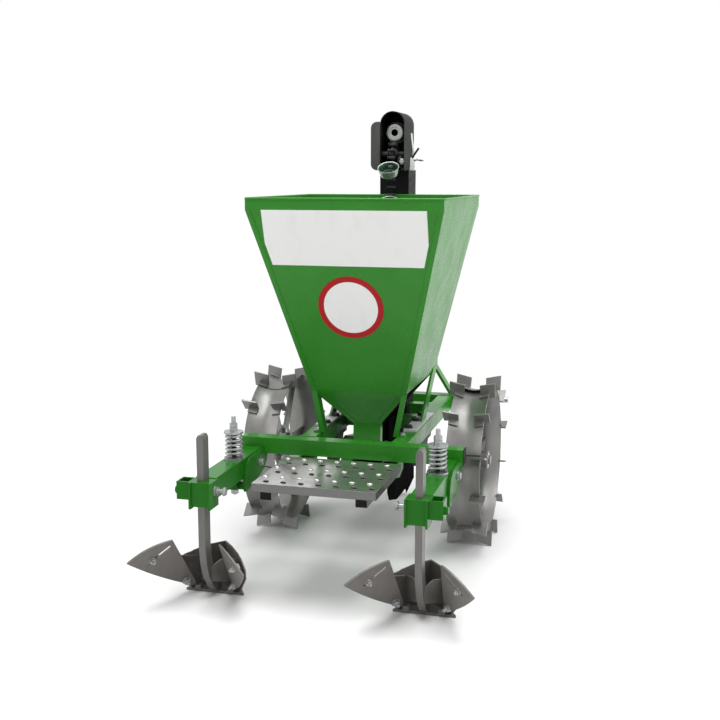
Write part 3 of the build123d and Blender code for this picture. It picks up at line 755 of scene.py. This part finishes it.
# Ridger arms: set bolts, knobs, pivots, rod threads and spring coils
SPRING_TURNS = 5
SPRING_WIRE = 4.2 * MM
SPRING_RADIUS = 23.3 * MM
COIL_STEPS = 24
ROD_THREAD_RADIUS = 7.5 * MM
ROD_THREAD_START = 31 * MM
ROD_THREAD_OVER = 1 * MM
SET_BOLT = 13 * MM
SET_BOLT_REACH = 24 * MM
SET_BOLT_RISE = 46 * MM
SET_BOLT_FORWARD = 20 * MM
KNOB = 12 * MM
KNOB_HEIGHT = 11 * MM
KNOB_SINK = 1 * MM
PIVOT_BOLT = 12 * MM
PIVOT_SPARE = 5 * MM
PIVOT_BACK = 50 * MM
PIVOT_Z = 325 * MM
bolts = Shape()
knobs = Shape()
springs = Shape()
bar_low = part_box("rear_toolbar")[0]
rods_low, rods_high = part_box("spring_rods")
coil_low, coil_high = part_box("pressure_springs")
spring_y = (rods_low.y + rods_high.y) / 2
pivot_y = bar_low.y - PIVOT_BACK
for side, name in SIDES:
    clamp_low, clamp_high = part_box("tine_clamp_" + name)
    tine_low, tine_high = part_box("tine_" + name)
    bracket_low, bracket_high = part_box("arm_bracket_" + name)
    row_x = (tine_low.x + tine_high.x) / 2
    inner_x = clamp_low.x if side > 0 else clamp_high.x
    outer_x = clamp_high.x if side > 0 else clamp_low.x
    bolt_y = tine_low.y + SET_BOLT_FORWARD
    bolt_z = clamp_low.z + SET_BOLT_RISE
    knob_y = (clamp_low.y + clamp_high.y) / 2
    bolts.bolt(facing((inner_x, bolt_y, bolt_z), (-side, 0, 0)), SET_BOLT, SET_BOLT_REACH)
    knobs.hexagon(facing((outer_x, knob_y, bolt_z), (side, 0, 0)), KNOB, -KNOB_SINK, KNOB_HEIGHT)
    bolts.bolt(facing((bracket_high.x, pivot_y, PIVOT_Z), (1, 0, 0)), PIVOT_BOLT)
    bolts.nut(facing((bracket_low.x, pivot_y, PIVOT_Z), (-1, 0, 0)), PIVOT_BOLT, PIVOT_SPARE)
    axis = Matrix.Translation((row_x, spring_y, 0))
    thread_low = coil_high.z + ROD_THREAD_START
    bolts.thread(axis, ROD_THREAD_RADIUS, thread_low, rods_high.z + ROD_THREAD_OVER)
    coil = []
    for step in range(SPRING_TURNS * COIL_STEPS + 1):
        angle = 2 * math.pi * step / COIL_STEPS
        share = step / (SPRING_TURNS * COIL_STEPS)
        height = coil_low.z + SPRING_WIRE + (coil_high.z - coil_low.z - 2 * SPRING_WIRE) * share
        x = row_x + SPRING_RADIUS * math.cos(angle)
        coil.append((x, spring_y + SPRING_RADIUS * math.sin(angle), height))
    springs.tube(coil, SPRING_WIRE, BAR_SIDES)
coils = springs.done("spring_coils", ZINC)
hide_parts("pressure_springs")
knobs.done("clamp_knobs", ARM_GREEN_SHADED, bevel=0.6 * MM)

# Wings: bolts at the low end of each slot and at the feet, straps, breast sheets and brackets to the tine
WING_TIP = Vector((172, -557, 147)) * MM
WING_TOP = Vector((70, -475, 198)) * MM
WING_FOOT = Vector((57, -336, 14)) * MM
WING_HALF = 2.5 * MM
SLOT_BOLT = 9 * MM
SLOT_SPARE = 6 * MM
SLOT_BACK = 7 * MM
SLOT_SHARES = (0.30, 0.155)
FOOT_BOLT = 11 * MM
FOOT_SPARE = 8 * MM
FOOT_SHARES = (0.16, 0.05)
SHEET_HALF = 2 * MM

# Strap from the slot's bolt to the breast sheet
STRAP_BACK = 5 * MM
STRAP_END = 14 * MM
STRAP_CUT = 9 * MM
STRAP_HALF = 13 * MM
HOLD_OUT = 60 * MM
HOLD_BACK = 8 * MM
HOLD_Z = 96 * MM

# Sheets beside the tine: ends from row and foot, outlines as shares of length and heights in millimetres
BREAST_START = (62 * MM, 14 * MM)
BREAST_END = (118 * MM, -62 * MM)
BREAST_OUTLINE = ((0, 12), (0.35, 16), (1, 74), (0.92, 98), (0.45, 116), (0, 122))
WEB_START = (8 * MM, -52 * MM)
WEB_END = (56 * MM, 16 * MM)
WEB_OUTLINE = ((0, 52), (1, 30), (1, 104), (0.4, 112), (0, 96))


def add_strap(shape, seat, hold, normal):
    # A flat bar from the seat to the hold, with its width along the wing's plane
    reach = (hold - seat).length
    along = (hold - seat).normalized()
    across = normal.cross(along)
    flat = Matrix((along, across.normalized(), along.cross(across).normalized()))
    place = Matrix.Translation(seat - normal * STRAP_BACK) @ flat.transposed().to_4x4()
    bar = [(-STRAP_END, -STRAP_CUT), (-STRAP_CUT, -STRAP_HALF), (reach, -STRAP_HALF)]
    bar += [(x, -y) for x, y in bar[::-1]]
    shape.prism(place, bar, -SHEET_HALF, SHEET_HALF)


def add_sheet(shape, start, end, outline):
    # An upright sheet from start to end
    up = Vector((0, 0, 1))
    length = (end - start).length
    along = (end - start).normalized()
    place = Matrix.Translation(start) @ Matrix((along, up, along.cross(up))).transposed().to_4x4()
    points = [(share * length, height * MM) for share, height in outline]
    shape.prism(place, points, -SHEET_HALF, SHEET_HALF)


stays = Shape()
for name in ("left", "right"):
    tine_low, tine_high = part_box("tine_" + name)
    row_x = (tine_low.x + tine_high.x) / 2
    for hand in (-1, 1):
        tip, top, foot = [
            Vector((row_x + hand * point.x, point.y + SHIFT_Y, point.z))
            for point in (WING_TIP, WING_TOP, WING_FOOT)
        ]
        normal = (top - tip).cross(foot - tip).normalized()
        if normal.y > 0:
            normal = -normal
        seat = tip + (top - tip) * SLOT_SHARES[0] + (foot - tip) * SLOT_SHARES[1]
        bolts.nut(facing(seat + normal * WING_HALF, normal), SLOT_BOLT, SLOT_SPARE)
        bolts.bolt(facing(seat - normal * SLOT_BACK, -normal), SLOT_BOLT)
        hold = Vector((row_x + hand * HOLD_OUT, foot.y - HOLD_BACK, HOLD_Z))
        add_strap(stays, seat, hold, normal)
        low_seat = foot + (tip - foot) * FOOT_SHARES[0] + (top - foot) * FOOT_SHARES[1]
        bolts.nut(facing(low_seat + normal * WING_HALF, normal), FOOT_BOLT, FOOT_SPARE)
        bolts.bolt(facing(low_seat - normal * WING_HALF, -normal), FOOT_BOLT)
        for start, end, outline in (
            (BREAST_START, BREAST_END, BREAST_OUTLINE),
            (WEB_START, WEB_END, WEB_OUTLINE),
        ):
            first = Vector((row_x + hand * start[0], foot.y + start[1], 0))
            last = Vector((row_x + hand * end[0], foot.y + end[1], 0))
            add_sheet(stays, first, last, outline)
stays.done("wing_stays", WING_STEEL, bevel=0.6 * MM)
bolts.done("ridger_bolts", ZINC, bevel=0.5 * MM)

# Bolts on the bearing plates, at the feet of the rear legs and on the drive chain's guard
plates_low, plates_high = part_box("bearing_plates")
leg_low, leg_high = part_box("hopper_rear_leg_right")
guard_low, guard_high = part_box("drive_chain_guard")
PLATE_BOLT = 12 * MM
PLATE_BOLT_X = 139 * MM
PLATE_SHARES = (0.11, 0.5, 0.82)
LEG_BOLT = 9 * MM
LEG_BOLT_X = 140 * MM
LEG_BOLT_Z = 394 * MM
GUARD_BOLT = 7 * MM
GUARD_SHARES = (0.12, 0.88)
GUARD_INSET = 52 * MM
GUARD_LIFT = 38 * MM
dark_bolts = Shape()
small_bolts = Shape()
leg_y = (leg_low.y + leg_high.y) / 2
for side in (-1, 1):
    for share in PLATE_SHARES:
        y = plates_low.y + (plates_high.y - plates_low.y) * share
        dark_bolts.bolt(facing((side * PLATE_BOLT_X, y, plates_high.z), (0, 0, 1)), PLATE_BOLT)
    small_bolts.bolt(facing((side * LEG_BOLT_X, leg_y, LEG_BOLT_Z), (0, 0, 1)), LEG_BOLT)
guard_drop = guard_high.z - guard_low.z - 2 * GUARD_INSET
for share in GUARD_SHARES:
    y = guard_low.y + (guard_high.y - guard_low.y) * share
    z = guard_high.z - GUARD_INSET - guard_drop * share + GUARD_LIFT
    small_bolts.bolt(facing((guard_low.x, y, z), (-1, 0, 0)), GUARD_BOLT)
dark_bolts.done("plate_bolts", CHAIN_STEEL, bevel=0.5 * MM)
small_bolts.done("small_bolts", ZINC, bevel=0.4 * MM)

# Hood: the clamp lever, its grip and its screw on the right, in millimetres from the cheek's corners
cheek_low, cheek_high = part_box("hood_cheeks")
hood_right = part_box("elevator_hood")[1].x
LEVER_RADIUS = 2.6 * MM
LEVER_PATH = ((-6, -3, -40), (-4, -5, -60), (2, -6, -100), (0, -3, -124))
CATCH_PLACE = (-2, 0, 20)
CATCH_OUTLINE = ((-9, -22), (7, -22), (9, -4), (5, 22), (-6, 22))
CATCH_LEVELS = ((0.0, 1.0), (7 * MM, 1.0), (9 * MM, 0.88))
GRIP_RADIUS = 3.6 * MM
GRIP_PATH = ((-2, -6, 42), (8, -10, 56), (21, -11, 74))
SCREW_PLACE = (-4, -4, 38)
SCREW_RADIUS = 3.2 * MM
SCREW_LENGTH = 36 * MM
SCREW_NUT = 7 * MM
SCREW_NUT_SPAN = (9 * MM, 15 * MM)
SCREW_AIM = (1, 0, -0.15)
BLADE_OUTLINE = ((2, -2), (10, -2.5), (12, 2.5), (2, 2))
BLADE_LEVELS = ((28 * MM, 1.0), (34 * MM, 1.0), (40 * MM, 0.85))


def from_cheek(corner_z, offset):
    # A place given in millimetres from the cheek's right rear edge at a height
    x, y, z = offset
    return (cheek_high.x + x * MM, cheek_low.y + y * MM, corner_z + z * MM)


lever = Shape()
lever.tube([from_cheek(cheek_high.z, offset) for offset in LEVER_PATH], LEVER_RADIUS, BAR_SIDES)
catch_place = facing(from_cheek(cheek_low.z, CATCH_PLACE), (0, -1, 0))
lever.stack(catch_place, millimetres(CATCH_OUTLINE), CATCH_LEVELS)
lever.done("hood_lever", GLARE_ZINC, bevel=0.6 * MM)
grip = Shape()
grip.tube([from_cheek(cheek_low.z, offset) for offset in GRIP_PATH], GRIP_RADIUS, BAR_SIDES)
grip.done("hood_grip", CHAIN_STEEL)
screw = Shape()
screw_place = facing(from_cheek(cheek_low.z, SCREW_PLACE), SCREW_AIM)
screw.thread(screw_place, SCREW_RADIUS, 0.0, SCREW_LENGTH)
screw.hexagon(screw_place, SCREW_NUT, *SCREW_NUT_SPAN)
for hand in (-1, 1):
    blade = millimetres([(hand * x, y) for x, y in BLADE_OUTLINE])
    screw.stack(screw_place, blade, BLADE_LEVELS)
screw.done("hood_screw", ZINC, bevel=0.4 * MM)

# Hub and bolt beside the chain inside the hood's mouth
HUB_RISE = 30 * MM
HUB_IN = 33 * MM
HUB_FORWARD = 26 * MM
HUB_PROFILE = ((4, 0), (20, 0), (22, 3), (22, 12), (14, 21), (4, 21))
MOUTH_BOLT = 9 * MM
MOUTH_BOLT_IN = 17 * MM
MOUTH_BOLT_FORWARD = 7 * MM
hub_z = cheek_low.z + HUB_RISE
boss = Shape()
boss_place = facing((hood_right - HUB_IN, cheek_low.y + HUB_FORWARD, hub_z), (1, 0, 0))
boss.lathe(boss_place, millimetres(HUB_PROFILE), steps=32)
boss.done("hood_hub", CHAIN_STEEL, bevel=0.6 * MM)
mouth_bolt = Shape()
mouth_place = (hood_right - MOUTH_BOLT_IN, cheek_low.y + MOUTH_BOLT_FORWARD, hub_z)
mouth_bolt.bolt(facing(mouth_place, (0, -1, 0)), MOUTH_BOLT)
mouth_bolt.done("hood_bolt", ZINC, bevel=0.4 * MM)

# Cup chain: plate links with rollers, and turned cups on straps, each with a dark shell inside as painted
# shade and reflection
CHAIN_RADIUS = 36 * MM
LINK_COUNT = 92
LINK_RADIUS = 6 * MM
LINK_PLATE = 2 * MM
LINK_ARC = 6
LINK_GAPS = (11.2 * MM, 9 * MM)
ROLLER_RADIUS = 5 * MM
ROLLER_HALF = 9 * MM
PIN_RADIUS = 2.2 * MM
PIN_HALF = 14 * MM
CUP_COUNT = 20
CUP_OFFSET = 44 * MM
CUP_TILT = math.radians(32)
CUP_HINGE = 8 * MM
CUP_DROP = 15 * MM
CUP_STEPS = 32
CUP_STRAP = rectangle(-8 * MM, 8 * MM, -8 * MM, 10 * MM)
CUP_STRAP_HALF = 4 * MM
ACROSS = Matrix.Rotation(math.radians(90), 4, "Y")
wheel_low, wheel_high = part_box("top_sprocket")
foot_low, foot_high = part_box("lower_sprocket")
chain_y = (wheel_low.y + wheel_high.y) / 2
chain_top = (wheel_low.z + wheel_high.z) / 2
chain_foot = (foot_low.z + foot_high.z) / 2
run = chain_top - chain_foot
turn_length = math.pi * CHAIN_RADIUS
loop_length = 2 * run + 2 * turn_length


def chain_place(distance):
    # X across, Y into the loop, Z along the travel, which goes up the hopper side first
    distance = distance % loop_length
    if distance < run:
        y, z, heading = -CHAIN_RADIUS, chain_foot + distance, 90.0
    elif distance < run + turn_length:
        angle = math.pi - (distance - run) / CHAIN_RADIUS
        y, z = CHAIN_RADIUS * math.cos(angle), chain_top + CHAIN_RADIUS * math.sin(angle)
        heading = math.degrees(angle) - 90
    elif distance < 2 * run + turn_length:
        y, z, heading = CHAIN_RADIUS, chain_top - (distance - run - turn_length), -90.0
    else:
        angle = -(distance - 2 * run - turn_length) / CHAIN_RADIUS
        y, z = CHAIN_RADIUS * math.cos(angle), chain_foot + CHAIN_RADIUS * math.sin(angle)
        heading = math.degrees(angle) - 90
    return Matrix.Translation((0, chain_y + y, z)) @ Matrix.Rotation(math.radians(heading - 90), 4, "X")


links = Shape()
link_pitch = loop_length / LINK_COUNT
stadium = []
for end in (-1, 1):
    for step in range(LINK_ARC + 1):
        angle = math.radians(end * 90 - 90 + 180 / LINK_ARC * step)
        x = end * link_pitch / 2 + LINK_RADIUS * math.cos(angle)
        stadium.append((x, LINK_RADIUS * math.sin(angle)))
for index in range(LINK_COUNT):
    link_place = chain_place((index + 0.5) * link_pitch) @ ACROSS
    gap = LINK_GAPS[index % 2]
    for hand in (-1, 1):
        links.prism(link_place, stadium, hand * gap, hand * (gap + LINK_PLATE))
    pin_place = chain_place(index * link_pitch) @ ACROSS
    links.prism(pin_place, circle(ROLLER_RADIUS, 10), -ROLLER_HALF, ROLLER_HALF)
    links.prism(pin_place, circle(PIN_RADIUS, 8), -PIN_HALF, PIN_HALF)
chain = links.done("chain_links", CHAIN_STEEL)
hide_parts("cup_chain")
cups = Shape()
cup_shades = Shape()
# Shell just inside each cup, dark as painted shade
cup_shade_profile = [(12.4, 3.8), (24.8, 3.8), (27.6, 5.8), (30.5, 17), (32.2, 26.6), (34.0, 29.2)]
cup_shade_profile += [(34.7, 28.8), (32.9, 26.2), (31.3, 17), (28.3, 5.2), (25.0, 2.8), (12.4, 2.8)]
cup_profile = [(12, 2), (18, 2), (19, 0), (25, 0), (28.5, 1.2), (30, 4), (33, 17), (34.6, 26)]
cup_profile += [(37, 28.6), (37, 30), (34.4, 29.6), (32.6, 26.5), (31, 17), (28, 5.4), (25, 3), (12, 3)]
first_cup = run + turn_length / 2 + CHAIN_RADIUS * CUP_TILT
for index in range(CUP_COUNT):
    place = chain_place(index * loop_length / CUP_COUNT + first_cup)
    seat = place @ Matrix.Translation((0, -CUP_HINGE, 0)) @ Matrix.Rotation(CUP_TILT, 4, "X")
    cup_place = seat @ Matrix.Translation((0, CUP_HINGE - CUP_OFFSET, -CUP_DROP))
    cups.lathe(cup_place, millimetres(cup_profile), CUP_STEPS)
    cup_shades.lathe(cup_place, millimetres(cup_shade_profile), CUP_STEPS)
    cups.prism(seat, CUP_STRAP, -CUP_STRAP_HALF, CUP_STRAP_HALF)
cups.done("chain_cups", CUP_ZINC)
cup_shades.done("cup_shade_shells", CUP_SHADE_FILM)

# Wheels: hollow rims with angle lugs, dark seams, a lapped sheet end, hub bolts and washers on the axle
RIM_RADIUS = 247 * MM
RIM_VALLEY = 15 * MM
RIM_CURVE = 1.74
RIM_HALF = 56 * MM
RIM_SHEET = 4 * MM
RIM_STEPS = 10
LUG_COUNT = 12
LUG_FIRST = -75
LUG_TIP = 283 * MM
LUG_SLOPE = 11 * MM
LUG_OUT = RIM_HALF + 18 * MM
LUG_IN = RIM_HALF - 30 * MM
LUG_LEAN = 2 * MM
LUG_SINK = 1 * MM
LUG_HANG = 14 * MM
LUG_HALF = 3 * MM
LUG_FOOT = 24 * MM
LUG_FOOT_THICK = 5 * MM
SEAM_COUNT = 5
SEAM_HALF = 2.2 * MM
SEAM_SPAN = (-2 * MM, 0.8 * MM)
SEAM_TURN = {"left": 183, "right": 163}
LAP_TURN = {"left": 297, "right": 81}
LAP_LENGTH = 76 * MM
LAP_SPAN = (-1.5 * MM, 1.5 * MM)
STRIP_STEPS = 8
HUB_BOLT = 10 * MM
HUB_BOLT_COUNT = 6
HUB_BOLT_FIRST = 30
HUB_BOLT_RADIUS = 56 * MM
HUB_BOLT_SPARE = 4 * MM
FLANGE_HALF = 5 * MM
AXLE_WASHER = 22 * MM
AXLE_WASHER_THICK = 3 * MM


def rim_height(x):
    # The rim's radius at a distance from its middle
    return RIM_RADIUS - RIM_VALLEY * (1 - abs(x / RIM_HALF) ** RIM_CURVE)


def round_wheel(centre, degrees):
    # X along the axle, Y outwards at an angle round the wheel
    return Matrix.Translation(centre) @ Matrix.Rotation(math.radians(degrees), 4, "X")


def build_rim(name, centre):
    # The rolled hoop and its lugs as one piece that stands for the rim
    rim = Shape()
    line = [RIM_HALF * step / RIM_STEPS for step in range(-RIM_STEPS, RIM_STEPS + 1)]
    profile = [(rim_height(x), x) for x in line] + [(rim_height(x) - RIM_SHEET, x) for x in line[::-1]]
    rim.lathe(facing(centre, (1, 0, 0)), profile, steps=96)
    inner = rim_height(LUG_IN)
    seat = [(LUG_IN, inner - LUG_SINK), (RIM_HALF, RIM_RADIUS - LUG_SINK)]
    plate = seat + [(RIM_HALF, RIM_RADIUS - LUG_HANG), (LUG_OUT, RIM_RADIUS - LUG_HANG)]
    plate += [(LUG_OUT, LUG_TIP), (LUG_IN - LUG_LEAN, LUG_TIP - LUG_SLOPE)]
    foot = seat + [(RIM_HALF, RIM_RADIUS + LUG_FOOT_THICK), (LUG_IN, inner + LUG_FOOT_THICK)]
    for index in range(LUG_COUNT):
        place = round_wheel(centre, 360 / LUG_COUNT * index + LUG_FIRST)
        for hand in (-1, 1):
            rim.prism(place, [(hand * x, r) for x, r in plate], -LUG_HALF, LUG_HALF)
            rim.prism(place, [(hand * x, r) for x, r in foot], LUG_HALF, LUG_FOOT)
    piece = rim.done("rim_" + name, GREY_STEEL, "wheelset", bevel=0.8 * MM)
    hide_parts("wheel_rim_" + name)


def rim_strip(shape, place, span, start, end):
    # A strip across the rim that follows its valley; the span is measured from the rim's surface
    rings = []
    for step in range(-STRIP_STEPS, STRIP_STEPS + 1):
        x = RIM_HALF * step / STRIP_STEPS
        r = rim_height(x)
        section = rectangle(r + span[0], r + span[1], start, end)
        rings.append([place @ Vector((x, y, z)) for y, z in section])
    shape.loft(rings)


hub = Shape()
seams = Shape()
laps = Shape()
axle_low, axle_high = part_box("axle")
axle_y = (axle_low.y + axle_high.y) / 2
axle_z = (axle_low.z + axle_high.z) / 2
for side, name in SIDES:
    low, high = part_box("wheel_spider_" + name)
    wheel_x = (low.x + high.x) / 2
    centre = (wheel_x, axle_y, axle_z)
    for index in range(HUB_BOLT_COUNT):
        angle = math.radians(360 / HUB_BOLT_COUNT * index + HUB_BOLT_FIRST)
        y = axle_y + HUB_BOLT_RADIUS * math.cos(angle)
        z = axle_z + HUB_BOLT_RADIUS * math.sin(angle)
        hub.bolt(facing((wheel_x + FLANGE_HALF, y, z), (1, 0, 0)), HUB_BOLT)
        hub.nut(facing((wheel_x - FLANGE_HALF, y, z), (-1, 0, 0)), HUB_BOLT, HUB_BOLT_SPARE)
    outer = high.x if side > 0 else low.x
    hub.washer(facing((outer, axle_y, axle_z), (side, 0, 0)), AXLE_WASHER, 0.0, AXLE_WASHER_THICK)
    build_rim(name, centre)
    # The last sheet of the hoop ends flat, so its free end stands off the rim
    rim_strip(laps, round_wheel(centre, LAP_TURN[name]), LAP_SPAN, 0, LAP_LENGTH)
    for index in range(SEAM_COUNT):
        place = round_wheel(centre, SEAM_TURN[name] + 360 * index / SEAM_COUNT)
        rim_strip(seams, place, SEAM_SPAN, -SEAM_HALF, SEAM_HALF)
hub.done("hub_bolts", ZINC, "wheelset", bevel=0.5 * MM)
seams.done("rim_seams", SEAM, "wheelset")
laps.done("rim_laps", GREY_STEEL, "wheelset", bevel=0.6 * MM)

# Weld beads at the rails' ends, the arms' clamps and brackets, the hitch plates and the link pins
CHEEK_THICK = 8 * MM
CHEEK_WELD = 12 * MM
HITCH_WELD_DROP = 2 * MM
LINK_PIN_RADIUS = 12 * MM
LINK_PIN_WELD = 2.2 * MM
welds = Shape()
for side, name in SIDES:
    low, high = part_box("rail_" + name)
    for y in (low.y, high.y):
        welds.weld((low.x, y, high.z), (high.x, y, high.z))
        welds.weld((low.x, y, low.z), (low.x, y, high.z))
        welds.weld((high.x, y, low.z), (high.x, y, high.z))
    clamp_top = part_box("tine_clamp_" + name)[1].z
    arm_low, arm_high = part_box("ridger_arm_" + name)
    welds.weld((arm_low.x, arm_low.y, clamp_top), (arm_high.x, arm_low.y, clamp_top))
    low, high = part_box("arm_bracket_" + name)
    for x in (low.x, low.x + CHEEK_THICK, high.x - CHEEK_THICK, high.x):
        welds.weld((x, bar_low.y, bar_low.z), (x, bar_low.y, bar_low.z + CHEEK_WELD))
    low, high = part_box("hitch_plate_" + name)
    weld_z = high.z - HITCH_WELD_DROP
    welds.weld((low.x, low.y, weld_z), (high.x, low.y, weld_z))
    pin_low, pin_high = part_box("lower_link_pin_" + name)
    pin_x = pin_low.x if side > 0 else pin_high.x
    pin_y = (pin_low.y + pin_high.y) / 2
    pin_z = (pin_low.z + pin_high.z) / 2
    loop = [(pin_x, pin_y + y, pin_z + z) for y, z in circle(LINK_PIN_RADIUS, 36)]
    welds.tube(loop, LINK_PIN_WELD, WELD_SIDES, closed=True, ripple=WELD_RIPPLE)
welds.done("weld_beads", GREEN)

# Floor that keeps the shadow near the object and goes to plain white further out
FLOOR_NEAR = 1.25
FLOOR_FAR = 2.6
bpy.ops.mesh.primitive_plane_add(size=40, location=(0, 0, 0))
floor = bpy.context.object
floor.name = "floor"
ground = Nodes("floor")
tone = ground.ramp(ground.noise(0.8, 3.0), (0.3, 0.7), (0.0, 1.0))
ground.colour(ground.mix(tone, (0.90, 0.90, 0.90), (0.93, 0.93, 0.93)))
ground.shader.inputs["Roughness"].default_value = 0.9
ground.shader.inputs["Specular IOR Level"].default_value = 0.1
distance = ground.add("ShaderNodeVectorMath", operation="LENGTH")
ground.link(ground.place, distance.inputs[0])
far = ground.ramp(distance.outputs["Value"], (FLOOR_NEAR, FLOOR_FAR), (0.0, 1.0))
glow = ground.add("ShaderNodeEmission")
blend = ground.add("ShaderNodeMixShader")
ground.link(far, blend.inputs[0])
ground.link(ground.shader.outputs[0], blend.inputs[1])
ground.link(glow.outputs[0], blend.inputs[2])
ground.link(blend.outputs[0], ground.tree.nodes["Material Output"].inputs["Surface"])
floor.data.materials.append(ground.material)
